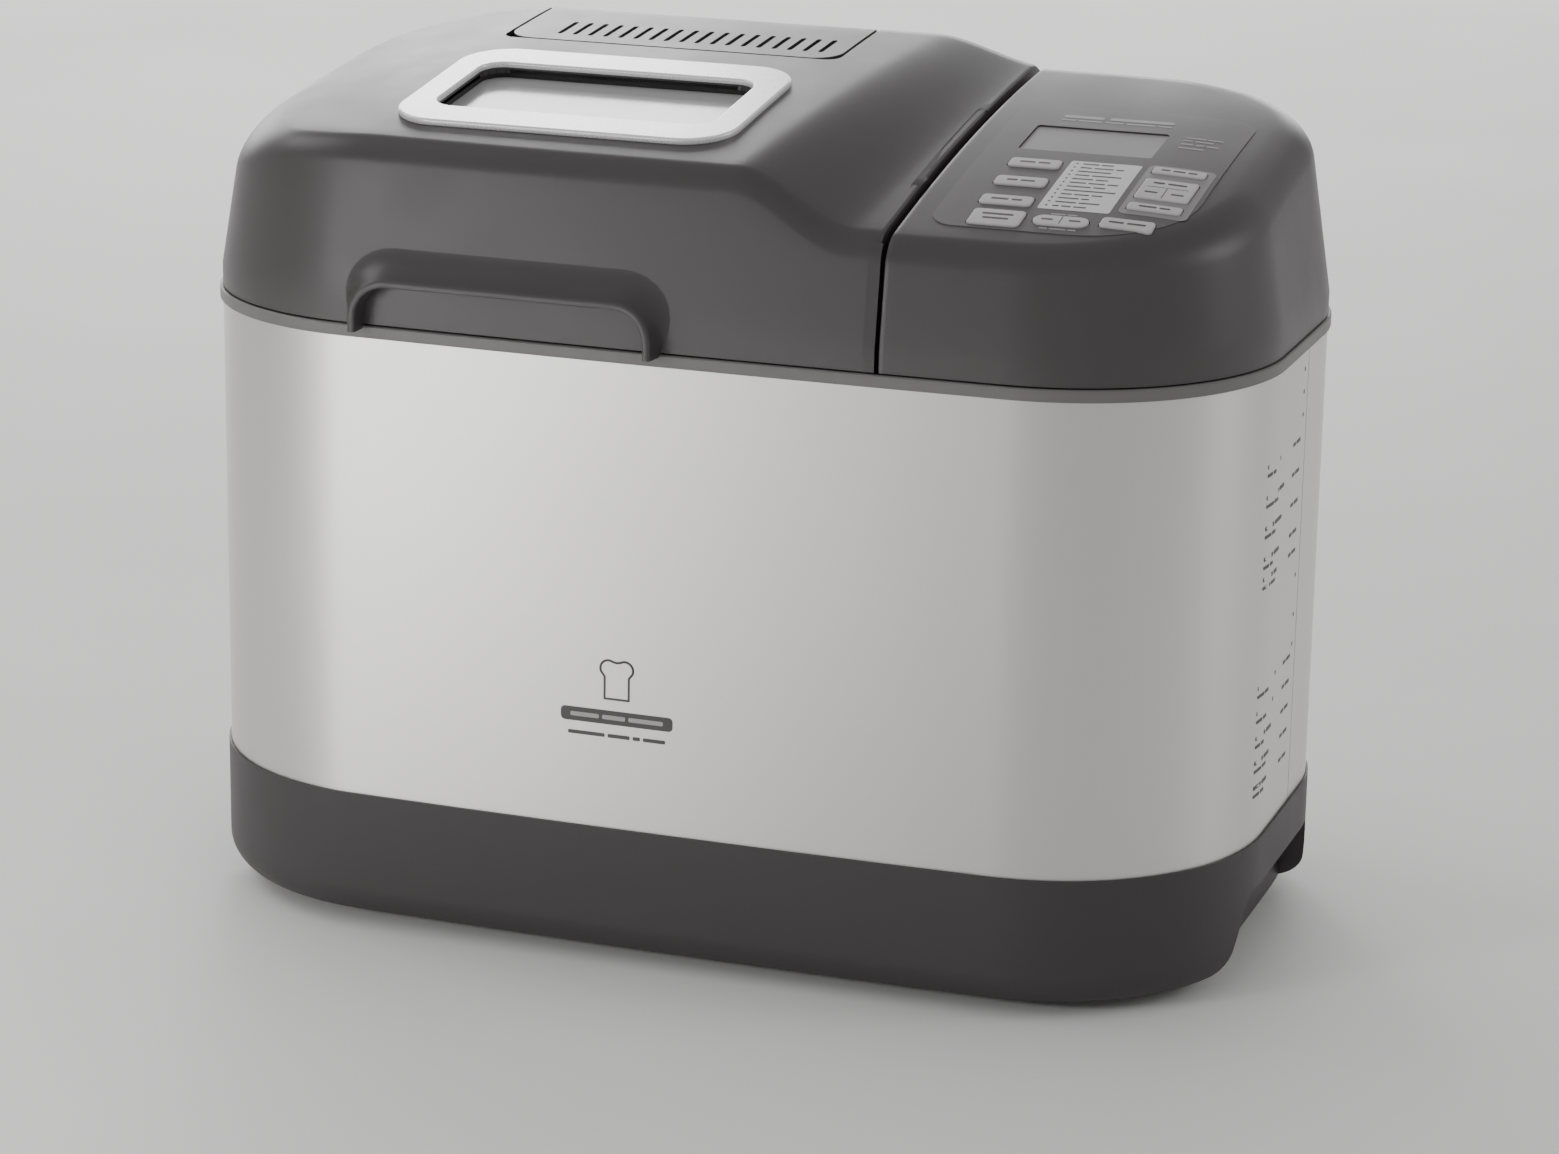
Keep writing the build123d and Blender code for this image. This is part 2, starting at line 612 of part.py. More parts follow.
# name, middle x, middle y, width, depth, corner radius
KEYS = (
    ("key_menu", 116.4, -34.5, 20.0, 8.5, 2.0),
    ("key_loaf", 116.4, -53.0, 20.0, 8.5, 2.0),
    ("key_light", 116.4, -71.3, 20.0, 8.5, 2.0),
    ("key_start", 117.3, -87.0, 20.0, 13.5, 2.0),
    ("key_time", 141.5, -85.8, 21.0, 8.5, 4.0),
    ("key_crust", 166.0, -83.5, 20.0, 8.5, 2.0),
    ("key_custom_top", 171.7, -31.6, 20.5, 6.5, 1.5),
    ("key_custom_mid", 171.7, -50.0, 20.5, 19.0, 1.5),
    ("key_custom_low", 171.7, -67.0, 20.5, 6.5, 1.5),
)
board_plane = surface_plane(panel_height, 137.0, -31.0)
BOARD_W, BOARD_D = 80.0, 108.0
BOARD_POSTS = ((-36, 50), (36, 50), (-36, -50), (36, -44.5))    # on the board, clear of keys and screen

panel_block = cover_block(panel_height, 0, 0, COVER_Z, PANEL_EDGE_X, 2 * HALF_W)
panel_hollow = cover_block(panel_height, WALL, WALL, COVER_Z - 1, PANEL_EDGE_X + WALL, 2 * HALF_W)
key_room = cover_block(panel_height, WALL + 0.3, WALL, COVER_Z, PANEL_EDGE_X + WALL, 2 * HALF_W)

with BuildPart() as panel_overlay:
    with BuildSketch(Plane.XY.offset(270)) as label_shape:
        with BuildLine():
            Polyline((93, -96), (187, -96), (187, 33), (93, 33), close=True)
        make_face()
        fillet(label_shape.vertices().group_by(Axis.X)[0], 10)
        fillet(label_shape.vertices().sort_by(Axis.X)[-2:].sort_by(Axis.Y)[-1], 10)
        fillet(label_shape.vertices().filter_by_position(Axis.X, 186.9, 187.1).sort_by(Axis.Y)[0], 40)
    extrude(amount=70)
    add(panel_block, mode=Mode.INTERSECT)
    add(crown(panel_height, LABEL_T), mode=Mode.SUBTRACT)
overlay_sheet = panel_overlay.part

with BuildPart() as key_holes:
    for key_name, key_x, key_y, key_w, key_d, key_r in KEYS:
        with BuildSketch(surface_plane(panel_height, key_x, key_y, -8)):
            RectangleRounded(key_w + 2 * KEY_GAP, key_d + 2 * KEY_GAP, key_r + KEY_GAP)
        extrude(amount=16)
    with BuildSketch(surface_plane(panel_height, LCD_X, LCD_Y, -8)):
        RectangleRounded(LCD_W, LCD_D, 1.5)
    extrude(amount=16)

with BuildPart() as panel_cover:
    add(panel_block)
    add(panel_hollow, mode=Mode.SUBTRACT)
    with BuildSketch(Plane.XY.offset(STEEL_TOP + 3.2)):
        add(outline(1.3))
        with Locations((PANEL_EDGE_X - 2 * HALF_W, 0)):
            Rectangle(4 * HALF_W, 4 * HALF_D, mode=Mode.SUBTRACT)
    extrude(amount=COVER_Z + 1 - STEEL_TOP - 3.2)
    with BuildSketch(Plane.XY.offset(STEEL_TOP + 3)):
        add(outline(WALL))
        with Locations((PANEL_EDGE_X + WALL - 2 * HALF_W, 0)):
            Rectangle(4 * HALF_W, 4 * HALF_D, mode=Mode.SUBTRACT)
    extrude(amount=6, mode=Mode.SUBTRACT)
    with BuildSketch(board_plane.offset(-13)):
        with Locations(*BOARD_POSTS):
            Circle(2.4)
    extrude(amount=11)
    add(overlay_sheet, mode=Mode.SUBTRACT)
    add(key_holes.part, mode=Mode.SUBTRACT)
finish(panel_cover, "panel_cover")

with BuildPart() as panel_overlay:
    add(overlay_sheet)
    add(key_holes.part, mode=Mode.SUBTRACT)
finish(panel_overlay, "panel_overlay")

for key_name, key_x, key_y, key_w, key_d, key_r in KEYS:
    with BuildPart() as key:
        with BuildSketch(surface_plane(panel_height, key_x, key_y, -KEY_FOOT - 1.2)):
            RectangleRounded(key_w + 2.6, key_d + 2.6, key_r)
        extrude(amount=1.2)
        add(key_room, mode=Mode.INTERSECT)
        with BuildSketch(surface_plane(panel_height, key_x, key_y, -KEY_FOOT)):
            RectangleRounded(key_w, key_d, key_r)
        extrude(amount=KEY_FOOT + KEY_PROUD)
        fillet(key.faces().sort_by(Axis.Z)[-1].edges(), 0.6)
    finish(key, key_name)

with BuildPart() as lcd_window:
    with BuildSketch(surface_plane(panel_height, LCD_X, LCD_Y, -1.7)):
        RectangleRounded(LCD_W - 0.1, LCD_D - 0.1, 1.45)
    extrude(amount=1.2)
finish(lcd_window, "lcd_window")

with BuildPart() as lcd_module:
    with BuildSketch(surface_plane(panel_height, LCD_X, LCD_Y, -8.4)):
        Rectangle(LCD_W + 8, LCD_D + 8)
    extrude(amount=5)
finish(lcd_module, "lcd_module")

with BuildPart() as control_board:
    with BuildSketch(board_plane.offset(-14.6)):
        Rectangle(BOARD_W, BOARD_D)
    extrude(amount=1.6)
finish(control_board, "control_board")

# ================================================================ oven
OVEN_FLOOR = 64.0
OVEN_TOP = 238.2
HEATER_Z = 84.0
HEATER_R = 3.2
HEATER_ENDS_Y = (-30.0, 22.0)
PROBE_Y, PROBE_Z = -40.0, 150.0

with BuildPart() as oven_chamber:
    with BuildSketch(Plane.XY.offset(OVEN_FLOOR - SHEET)):
        with Locations((PAN_X, PAN_Y)):
            RectangleRounded(OVEN_W + 2 * SHEET, OVEN_D + 2 * SHEET, OVEN_R + SHEET)
    extrude(amount=OVEN_TOP + SHEET - OVEN_FLOOR + SHEET)
    with BuildSketch(Plane.XY.offset(OVEN_TOP)):
        with Locations((PAN_X, PAN_Y)):
            RectangleRounded(OVEN_W + 14, OVEN_D + 14, OVEN_R + 7)
    extrude(amount=SHEET)
    with BuildSketch(Plane.XY.offset(OVEN_FLOOR)):
        with Locations((PAN_X, PAN_Y)):
            RectangleRounded(OVEN_W, OVEN_D, OVEN_R)
    extrude(amount=OVEN_TOP, mode=Mode.SUBTRACT)
    with BuildSketch(Plane.XY.offset(OVEN_FLOOR - 5)):
        with Locations((PAN_X, PAN_Y)):
            Circle(15)
    extrude(amount=10, mode=Mode.SUBTRACT)
    with BuildSketch(Plane.YZ.offset(PAN_X + OVEN_W / 2 - 5)):
        with Locations(*[(end_y, HEATER_Z) for end_y in HEATER_ENDS_Y]):
            Circle(HEATER_R + 0.1)
        with Locations((PROBE_Y, PROBE_Z)):
            Circle(2.6)
    extrude(amount=10, mode=Mode.SUBTRACT)
    # four folded feet that stand on the chassis plate
    with BuildSketch(Plane.XY.offset(PLATE_TOP)):
        with Locations((PAN_X, PAN_Y)):
            with GridLocations(OVEN_W - 40, OVEN_D - 30, 2, 2):
                Rectangle(24, 14)
                Rectangle(22.4, 20, mode=Mode.SUBTRACT)
    extrude(amount=OVEN_FLOOR - PLATE_TOP - SHEET / 2)
finish(oven_chamber, "oven_chamber")

with BuildPart() as heating_element:
    with BuildLine() as heater_path:
        FilletPolyline(
            (64, -30, HEATER_Z), (35, -30, HEATER_Z), (35, -75, HEATER_Z), (-169, -75, HEATER_Z),
            (-169, 67, HEATER_Z), (35, 67, HEATER_Z), (35, 22, HEATER_Z), (64, 22, HEATER_Z),
            radius=10,
        )
    with BuildSketch(Plane(origin=heater_path.line @ 0, z_dir=heater_path.line % 0)):
        Circle(HEATER_R)
    sweep()
finish(heating_element, "heating_element")

with BuildPart() as thermistor_probe:
    with BuildSketch(Plane.YZ.offset(40)):
        with Locations((PROBE_Y, PROBE_Z)):
            Circle(2.5)
    extrude(amount=22)
    with BuildSketch(Plane.YZ.offset(48.9)):
        with Locations((PROBE_Y, PROBE_Z)):
            Circle(6)
    extrude(amount=2)
finish(thermistor_probe, "thermistor_probe")

with BuildPart() as pan_seat:
    with BuildSketch(Plane.XY.offset(OVEN_FLOOR)):
        with Locations((PAN_X, PAN_Y)):
            Circle(36)
            Circle(25, mode=Mode.SUBTRACT)
    extrude(amount=3)
    with BuildSketch(Plane.XY.offset(OVEN_FLOOR)):
        with Locations((PAN_X, PAN_Y)):
            Circle(28)
            Circle(25, mode=Mode.SUBTRACT)
    extrude(amount=12)
finish(pan_seat, "pan_seat")

# ================================================================ bread pan
PAN_FLOOR, PAN_RIM = 92.0, 227.0
PAN_W, PAN_D, PAN_R = 184.0, 116.0, 18.0
PAN_SPREAD = 6.0        # each side stands this much further out at the rim
PAN_WALL = 1.5
BAIL_Z = 232.5
BAIL_R = 2.5
BAIL_X = 102.0
BAIL_REACH = 50.0

with BuildPart() as bread_pan:
    with BuildSketch(Plane.XY.offset(PAN_FLOOR)):
        with Locations((PAN_X, PAN_Y)):
            RectangleRounded(PAN_W, PAN_D, PAN_R)
    with BuildSketch(Plane.XY.offset(PAN_RIM)):
        with Locations((PAN_X, PAN_Y)):
            RectangleRounded(PAN_W + 2 * PAN_SPREAD, PAN_D + 2 * PAN_SPREAD, PAN_R + 4)
    loft()
    with BuildSketch(Plane.XY.offset(PAN_RIM - 3)):
        with Locations((PAN_X, PAN_Y)):
            RectangleRounded(PAN_W + 2 * PAN_SPREAD + 6, PAN_D + 2 * PAN_SPREAD + 6, PAN_R + 7)
    extrude(amount=3)
    with BuildSketch(Plane.XY.offset(PAN_FLOOR + PAN_WALL)):
        with Locations((PAN_X, PAN_Y)):
            RectangleRounded(PAN_W - 2 * PAN_WALL, PAN_D - 2 * PAN_WALL, PAN_R - PAN_WALL)
    with BuildSketch(Plane.XY.offset(PAN_RIM + 0.1)):
        with Locations((PAN_X, PAN_Y)):
            RectangleRounded(
                PAN_W + 2 * PAN_SPREAD - 2 * PAN_WALL, PAN_D + 2 * PAN_SPREAD - 2 * PAN_WALL,
                PAN_R + 4 - PAN_WALL,
            )
    loft(mode=Mode.SUBTRACT)
    with BuildSketch(Plane.XY.offset(PAN_FLOOR - 1)):
        with Locations((PAN_X, PAN_Y)):
            Circle(9)
    extrude(amount=4, mode=Mode.SUBTRACT)
    for side in (-1, 1):
        with BuildSketch(Plane.YZ.offset(PAN_X + side * 98)):
            with Locations((PAN_Y, BAIL_Z - 7)):
                Rectangle(20, 14)
            with Locations((PAN_Y, BAIL_Z)):
                Circle(6.5)
                Circle(BAIL_R + 0.05, mode=Mode.SUBTRACT)
        extrude(amount=side * 3)
finish(bread_pan, "bread_pan")

with BuildPart() as pan_collar:
    with BuildSketch(Plane.XY.offset(66)):
        with Locations((PAN_X, PAN_Y)):
            Circle(24.6)
            Circle(21, mode=Mode.SUBTRACT)
    extrude(amount=PAN_FLOOR - 66)
    with BuildSketch(Plane.XY.offset(PAN_FLOOR - 2)):
        with Locations((PAN_X, PAN_Y)):
            Circle(35)
            Circle(21, mode=Mode.SUBTRACT)
            with PolarLocations(30, 4):
                Circle(2, mode=Mode.SUBTRACT)
    extrude(amount=2)
finish(pan_collar, "pan_collar")

SPINDLE_R = 4.0

with BuildPart() as pan_bush:
    with BuildSketch(Plane.XY.offset(87)):
        with Locations((PAN_X, PAN_Y)):
            Circle(8.9)
            Circle(SPINDLE_R + 0.04, mode=Mode.SUBTRACT)
    extrude(amount=8.5)
    with BuildSketch(Plane.XY.offset(PAN_FLOOR + PAN_WALL)):
        with Locations((PAN_X, PAN_Y)):
            Circle(13)
            Circle(SPINDLE_R + 0.04, mode=Mode.SUBTRACT)
    extrude(amount=2)
finish(pan_bush, "pan_bush")

with BuildPart() as pan_shaft:
    with BuildSketch(Plane.XY.offset(78)):
        with Locations((PAN_X, PAN_Y)):
            Circle(SPINDLE_R)
    extrude(amount=40)
    with BuildSketch(Plane.XY.offset(96.5)):
        with Locations((PAN_X + SPINDLE_R, PAN_Y)):
            Rectangle(2.4, 10)
    extrude(amount=30, mode=Mode.SUBTRACT)
finish(pan_shaft, "pan_shaft")

COUPLER_R = 18.0
DOG_REACH, DOG_SIDE = 13.5, 8.0
DOG_ANGLE = 52.0        # the pan's dogs stand this far round from the drive's

with BuildPart() as pan_coupler:
    with BuildSketch(Plane.XY.offset(82)):
        with Locations((PAN_X, PAN_Y)):
            Circle(COUPLER_R)
            Circle(SPINDLE_R + 0.02, mode=Mode.SUBTRACT)
    extrude(amount=3.6)
    with BuildSketch(Plane.XY.offset(74.5)):
        with Locations((PAN_X, PAN_Y)):
            with PolarLocations(DOG_REACH, 2, DOG_ANGLE):
                Rectangle(DOG_SIDE, DOG_SIDE)
    extrude(amount=8)
finish(pan_coupler, "pan_coupler")

with BuildPart() as kneading_paddle:
    with BuildSketch(Plane.XY.offset(97)):
        with Locations((PAN_X, PAN_Y)):
            Circle(9)
    extrude(amount=24)
    with BuildSketch(Plane.XZ.offset(-PAN_Y - 2)):
        with BuildLine():
            Polyline(
                (PAN_X, 97), (PAN_X + 40, 97), (PAN_X + 41, 104), (PAN_X + 36, 118),
                (PAN_X + 14, 134), (PAN_X, 134), close=True,
            )
        make_face()
    extrude(amount=4)
    fillet(kneading_paddle.edges().filter_by(Axis.Y).sort_by(Axis.X)[-2:], 3)
    with BuildSketch(Plane.XY.offset(96)):
        with Locations((PAN_X, PAN_Y)):
            Circle(SPINDLE_R + 0.03)
        with Locations((PAN_X + SPINDLE_R, PAN_Y)):
            Rectangle(2.34, 10, mode=Mode.SUBTRACT)
    extrude(amount=22.2, mode=Mode.SUBTRACT)
finish(kneading_paddle, "kneading_paddle")

with BuildPart() as pan_handle:
    with BuildLine() as bail_path:
        FilletPolyline(
            (PAN_X - BAIL_X, PAN_Y, BAIL_Z), (PAN_X - 90, PAN_Y, BAIL_Z),
            (PAN_X - 90, PAN_Y - BAIL_REACH, BAIL_Z), (PAN_X + 90, PAN_Y - BAIL_REACH, BAIL_Z),
            (PAN_X + 90, PAN_Y, BAIL_Z), (PAN_X + BAIL_X, PAN_Y, BAIL_Z), radius=5,
        )
    with BuildSketch(Plane(origin=bail_path.line @ 0, z_dir=bail_path.line % 0)):
        Circle(BAIL_R)
    sweep()
finish(pan_handle, "pan_handle")

# ================================================================ drive
SHAFT_R = 5.0
PULLEY_Z, PULLEY_H = 13.0, 13.0
BIG_PULLEY_R, SMALL_PULLEY_R = 55.0, 10.0
BELT_T = 2.5
BELT_GAP = 0.3

with BuildPart() as bearing_housing:
    with BuildSketch(Plane.XY.offset(28)):
        with Locations((PAN_X, PAN_Y)):
            Circle(14.2)
    extrude(amount=44)
    with BuildSketch(Plane.XY.offset(PLATE_TOP)):
        with Locations((PAN_X, PAN_Y)):
            Circle(27)
            with PolarLocations(21.5, 3):
                Circle(2, mode=Mode.SUBTRACT)
    extrude(amount=3)
    with BuildSketch(Plane.XY.offset(27)):
        with Locations((PAN_X, PAN_Y)):
            Circle(8)
    extrude(amount=50, mode=Mode.SUBTRACT)
    for seat_z in (27, 64):
        with BuildSketch(Plane.XY.offset(seat_z)):
            with Locations((PAN_X, PAN_Y)):
                Circle(11)
        extrude(amount=9, mode=Mode.SUBTRACT)
finish(bearing_housing, "bearing_housing")

with BuildPart() as drive_bearings:
    for bearing_z in (28.5, 64.5):
        with BuildSketch(Plane.XY.offset(bearing_z)):
            with Locations((PAN_X, PAN_Y)):
                Circle(10.98)
                Circle(SHAFT_R + 0.03, mode=Mode.SUBTRACT)
        extrude(amount=7)
finish(drive_bearings, "drive_bearings")

with BuildPart() as drive_shaft:
    with BuildSketch(Plane.XY.offset(11)):
        with Locations((PAN_X, PAN_Y)):
            Circle(SHAFT_R)
    extrude(amount=66)
finish(drive_shaft, "drive_shaft")

with BuildPart() as drive_coupler:
    with BuildSketch(Plane.XY.offset(72.6)):
        with Locations((PAN_X, PAN_Y)):
            Circle(COUPLER_R)
            Circle(SHAFT_R + 0.01, mode=Mode.SUBTRACT)
    extrude(amount=1.6)
    with BuildSketch(Plane.XY.offset(72.6)):
        with Locations((PAN_X, PAN_Y)):
            with PolarLocations(DOG_REACH, 2):
                Rectangle(DOG_SIDE, DOG_SIDE)
    extrude(amount=9)
finish(drive_coupler, "drive_coupler")

with BuildPart() as drive_pulley:
    with BuildSketch(Plane.XY.offset(PULLEY_Z)):
        with Locations((PAN_X, PAN_Y)):
            Circle(BIG_PULLEY_R)
    extrude(amount=PULLEY_H)
    for web_z in (PULLEY_Z, PULLEY_Z + PULLEY_H - 5):
        with BuildSketch(Plane.XY.offset(web_z)):
            with Locations((PAN_X, PAN_Y)):
                Circle(BIG_PULLEY_R - 4)
                Circle(10, mode=Mode.SUBTRACT)
        extrude(amount=5, mode=Mode.SUBTRACT)
    with BuildSketch(Plane.XY.offset(PULLEY_Z)):
        with Locations((PAN_X, PAN_Y)):
            Circle(SHAFT_R + 0.01)
            with PolarLocations(31, 5):
                Circle(10)
    extrude(amount=PULLEY_H, mode=Mode.SUBTRACT)
finish(drive_pulley, "drive_pulley")

belt_span = MOTOR_X - PAN_X
belt_tilt = asin((BIG_PULLEY_R - SMALL_PULLEY_R) / belt_span)


def belt_loop(grow):
    """Line of an open belt round both pulleys, grown outward."""
    big = BIG_PULLEY_R + grow
    small = SMALL_PULLEY_R + grow
    up_big = (PAN_X + big * sin(belt_tilt), PAN_Y + big * cos(belt_tilt))
    low_big = (PAN_X + big * sin(belt_tilt), PAN_Y - big * cos(belt_tilt))
    up_small = (MOTOR_X + small * sin(belt_tilt), PAN_Y + small * cos(belt_tilt))
    low_small = (MOTOR_X + small * sin(belt_tilt), PAN_Y - small * cos(belt_tilt))
    with BuildSketch() as loop:
        with BuildLine():
            ThreePointArc(low_big, (PAN_X - big, PAN_Y), up_big)
            Line(up_big, up_small)
            ThreePointArc(up_small, (MOTOR_X + small, PAN_Y), low_small)
            Line(low_small, low_big)
        make_face()
    return loop.sketch


with BuildPart() as drive_belt:
    with BuildSketch(Plane.XY.offset(PULLEY_Z + 1.5)):
        add(belt_loop(BELT_GAP + BELT_T))
        add(belt_loop(BELT_GAP), mode=Mode.SUBTRACT)
    extrude(amount=PULLEY_H - 3)
finish(drive_belt, "drive_belt")

# ================================================================ motor and power board
MOTOR_R = 33.0
MOTOR_LOW, MOTOR_HIGH = 62.0, 122.0
MOTOR_SHAFT_R = 4.0
MOTOR_SHAFT_LOW, MOTOR_SHAFT_HIGH = 11.0, 142.0
ROTOR_R, ROTOR_LOW, ROTOR_HIGH = 27.0, 74.0, 110.0
FAN_Z, FAN_R = 128.0, 26.0

with BuildPart() as motor_case:
    with BuildSketch(Plane.XY.offset(MOTOR_LOW)):
        with Locations((MOTOR_X, PAN_Y)):
            Circle(MOTOR_R)
    extrude(amount=MOTOR_HIGH - MOTOR_LOW)
    fillet(motor_case.edges().filter_by(GeomType.CIRCLE), 3)
    with BuildSketch(Plane.XY.offset(MOTOR_LOW + 3)):
        with Locations((MOTOR_X, PAN_Y)):
            Circle(MOTOR_R - 3)
    extrude(amount=MOTOR_HIGH - MOTOR_LOW - 6, mode=Mode.SUBTRACT)
    with BuildSketch(Plane.XY.offset(MOTOR_LOW - 1)):
        with Locations((MOTOR_X, PAN_Y)):
            Circle(MOTOR_SHAFT_R + 0.04)
    extrude(amount=MOTOR_HIGH - MOTOR_LOW + 2, mode=Mode.SUBTRACT)
    with BuildSketch(Plane.XY.offset(PLATE_TOP)):
        with Locations((MOTOR_X, PAN_Y)):
            with PolarLocations(28, 3):
                Circle(4)
    extrude(amount=MOTOR_LOW - PLATE_TOP + 2)
finish(motor_case, "motor_case")

with BuildPart() as motor_rotor:
    with BuildSketch(Plane.XY.offset(MOTOR_SHAFT_LOW)):
        with Locations((MOTOR_X, PAN_Y)):
            Circle(MOTOR_SHAFT_R)
    extrude(amount=MOTOR_SHAFT_HIGH - MOTOR_SHAFT_LOW)
    with BuildSketch(Plane.XY.offset(ROTOR_LOW)):
        with Locations((MOTOR_X, PAN_Y)):
            Circle(ROTOR_R)
    extrude(amount=ROTOR_HIGH - ROTOR_LOW)
    with BuildSketch(Plane.XY.offset(FAN_Z)):
        with Locations((MOTOR_X, PAN_Y)):
            Circle(FAN_R)
    extrude(amount=1.4)
    with BuildSketch(Plane.XY.offset(FAN_Z + 1.4)):
        with Locations((MOTOR_X, PAN_Y)):
            with PolarLocations(16, 9):
                Rectangle(17, 1.4)
    extrude(amount=9)
finish(motor_rotor, "motor_rotor")

with BuildPart() as motor_pulley:
    with BuildSketch(Plane.XY.offset(PULLEY_Z)):
        with Locations((MOTOR_X, PAN_Y)):
            Circle(SMALL_PULLEY_R)
            Circle(MOTOR_SHAFT_R + 0.01, mode=Mode.SUBTRACT)
    extrude(amount=PULLEY_H)
    for flange_z in (PULLEY_Z, PULLEY_Z + PULLEY_H - 1):
        with BuildSketch(Plane.XY.offset(flange_z)):
            with Locations((MOTOR_X, PAN_Y)):
                Circle(SMALL_PULLEY_R + 3)
                Circle(MOTOR_SHAFT_R + 0.01, mode=Mode.SUBTRACT)
        extrude(amount=1)
finish(motor_pulley, "motor_pulley")

BOARD_Y = 76.0
BOARD_X, BOARD_Z = 135.0, 150.0
BOARD_LEG_XS = (100.0, 170.0)

with BuildPart() as power_board:
    with BuildSketch(Plane.XZ.offset(-BOARD_Y)):
        with Locations((BOARD_X, BOARD_Z)):
            Rectangle(86, 70)
    extrude(amount=1.6)
    with BuildSketch(Plane.XZ.offset(-BOARD_Y)):
        with Locations((112, 160), (150, 165)):
            Rectangle(26, 24)
        with Locations((120, 128), (150, 128), (165, 140)):
            Circle(6)
    extrude(amount=18)
    with BuildSketch(Plane.XZ.offset(-BOARD_Y)):
        with Locations(*[(leg_x, 90) for leg_x in BOARD_LEG_XS]):
            Rectangle(6, 78)
    extrude(amount=-2)
finish(power_board, "power_board")
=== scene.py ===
"""Looks of the bread machine: rounded covers, panel graphics, finishes, light and camera."""
import json
import math

import bmesh
import bpy
import numpy as np
from mathutils import Matrix, Vector


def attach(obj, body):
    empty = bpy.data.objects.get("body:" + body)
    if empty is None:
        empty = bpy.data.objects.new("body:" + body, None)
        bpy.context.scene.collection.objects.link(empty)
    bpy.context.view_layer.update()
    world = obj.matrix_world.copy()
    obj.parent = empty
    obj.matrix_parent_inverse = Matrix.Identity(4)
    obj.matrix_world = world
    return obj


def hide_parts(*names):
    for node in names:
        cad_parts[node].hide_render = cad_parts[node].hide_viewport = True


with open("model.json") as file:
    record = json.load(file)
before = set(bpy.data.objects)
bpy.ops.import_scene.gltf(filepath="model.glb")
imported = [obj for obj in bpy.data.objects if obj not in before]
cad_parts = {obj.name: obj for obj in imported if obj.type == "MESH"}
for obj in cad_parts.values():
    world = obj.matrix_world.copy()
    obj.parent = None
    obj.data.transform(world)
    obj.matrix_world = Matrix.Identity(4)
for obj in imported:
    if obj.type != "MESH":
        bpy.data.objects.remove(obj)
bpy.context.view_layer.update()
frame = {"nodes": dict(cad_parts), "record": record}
NODES = frame["nodes"]
MM = 0.001

# ---------------------------------------------------------------- shape of the body (mm)
HALF_W, HALF_D, BOW_R, CORNER_R = 215.0, 121.0, 5000.0, 86.0
CORNER_X = HALF_W - CORNER_R
CORNER_Y = math.sqrt((BOW_R - CORNER_R) ** 2 - CORNER_X ** 2) - (BOW_R - HALF_D)
TANGENT = math.asin(CORNER_X / (BOW_R - CORNER_R))
COVER_Z, WALL_TOP, LEAN = 245.3, 253.0, 0.16
LID_EDGE, PANEL_EDGE = 81.0, 83.5   # the covers' facing sides, either side of the seam
WALL = 2.2
SEAM_ROUND = 1.2
MEDIAL_REACH = 94.0   # half length of the ridge line that a cover's top skin runs in to


def ease(t):
    """Smooth step from 0 to 1."""
    t = min(max(t, 0.0), 1.0)
    return t * t * (3 - 2 * t)


def panel_height(x, y):
    """Top surface of the control panel."""
    rear_fall = 0.010 * max(0.0, y - 80) ** 2
    end_fall = 0.0012 * max(0.0, x - 150) ** 2
    return 316.5 + 0.158 * y - 0.00043 * y * y - rear_fall - end_fall


def lid_height(x, y):
    """Top surface of the lid: a plateau that steps down towards the panel."""
    rear_fall = 0.010 * max(0.0, y - 80) ** 2
    end_fall = 0.0021 * max(0.0, -120 - x) ** 2
    plateau = 330.3 + 0.118 * y - 0.00028 * y * y - rear_fall
    step = ease(((x - 46 - 16 * (y + 105) / 180) / 24 + 1) / 2)
    return plateau * (1 - step) + (panel_height(0, y) + 1) * step - end_fall


def tangent_frame(height, x, y, lift=0.0):
    """Matrix, in mm, of the plane that touches a top surface at (x, y), raised by lift."""
    gx = height(x + 0.5, y) - height(x - 0.5, y)
    gy = height(x, y + 0.5) - height(x, y - 0.5)
    z_axis = Vector((-gx, -gy, 1)).normalized()
    x_axis = Vector((1, 0, gx)).normalized()
    y_axis = z_axis.cross(x_axis)
    turn = Matrix((x_axis, y_axis, z_axis)).transposed().to_4x4()
    return Matrix.Translation(Vector((x, y, height(x, y))) + z_axis * lift) @ turn


# ---------------------------------------------------------------- finishes
def linear(code):
    """sRGB hex to a linear colour."""
    parts = [int(code[i:i + 2], 16) / 255 for i in (1, 3, 5)]
    return tuple(c / 12.92 if c <= 0.04045 else ((c + 0.055) / 1.055) ** 2.4 for c in parts) + (1.0,)


def put(tree, kind, inputs=None, **settings):
    """Adds a node, applies its settings, and sets or links its inputs."""
    made = tree.nodes.new("ShaderNode" + kind)
    for key, value in settings.items():
        setattr(made, key, value)
    for key, value in (inputs or {}).items():
        if isinstance(value, bpy.types.NodeSocket):
            tree.links.new(value, made.inputs[key])
        else:
            made.inputs[key].default_value = value
    return made


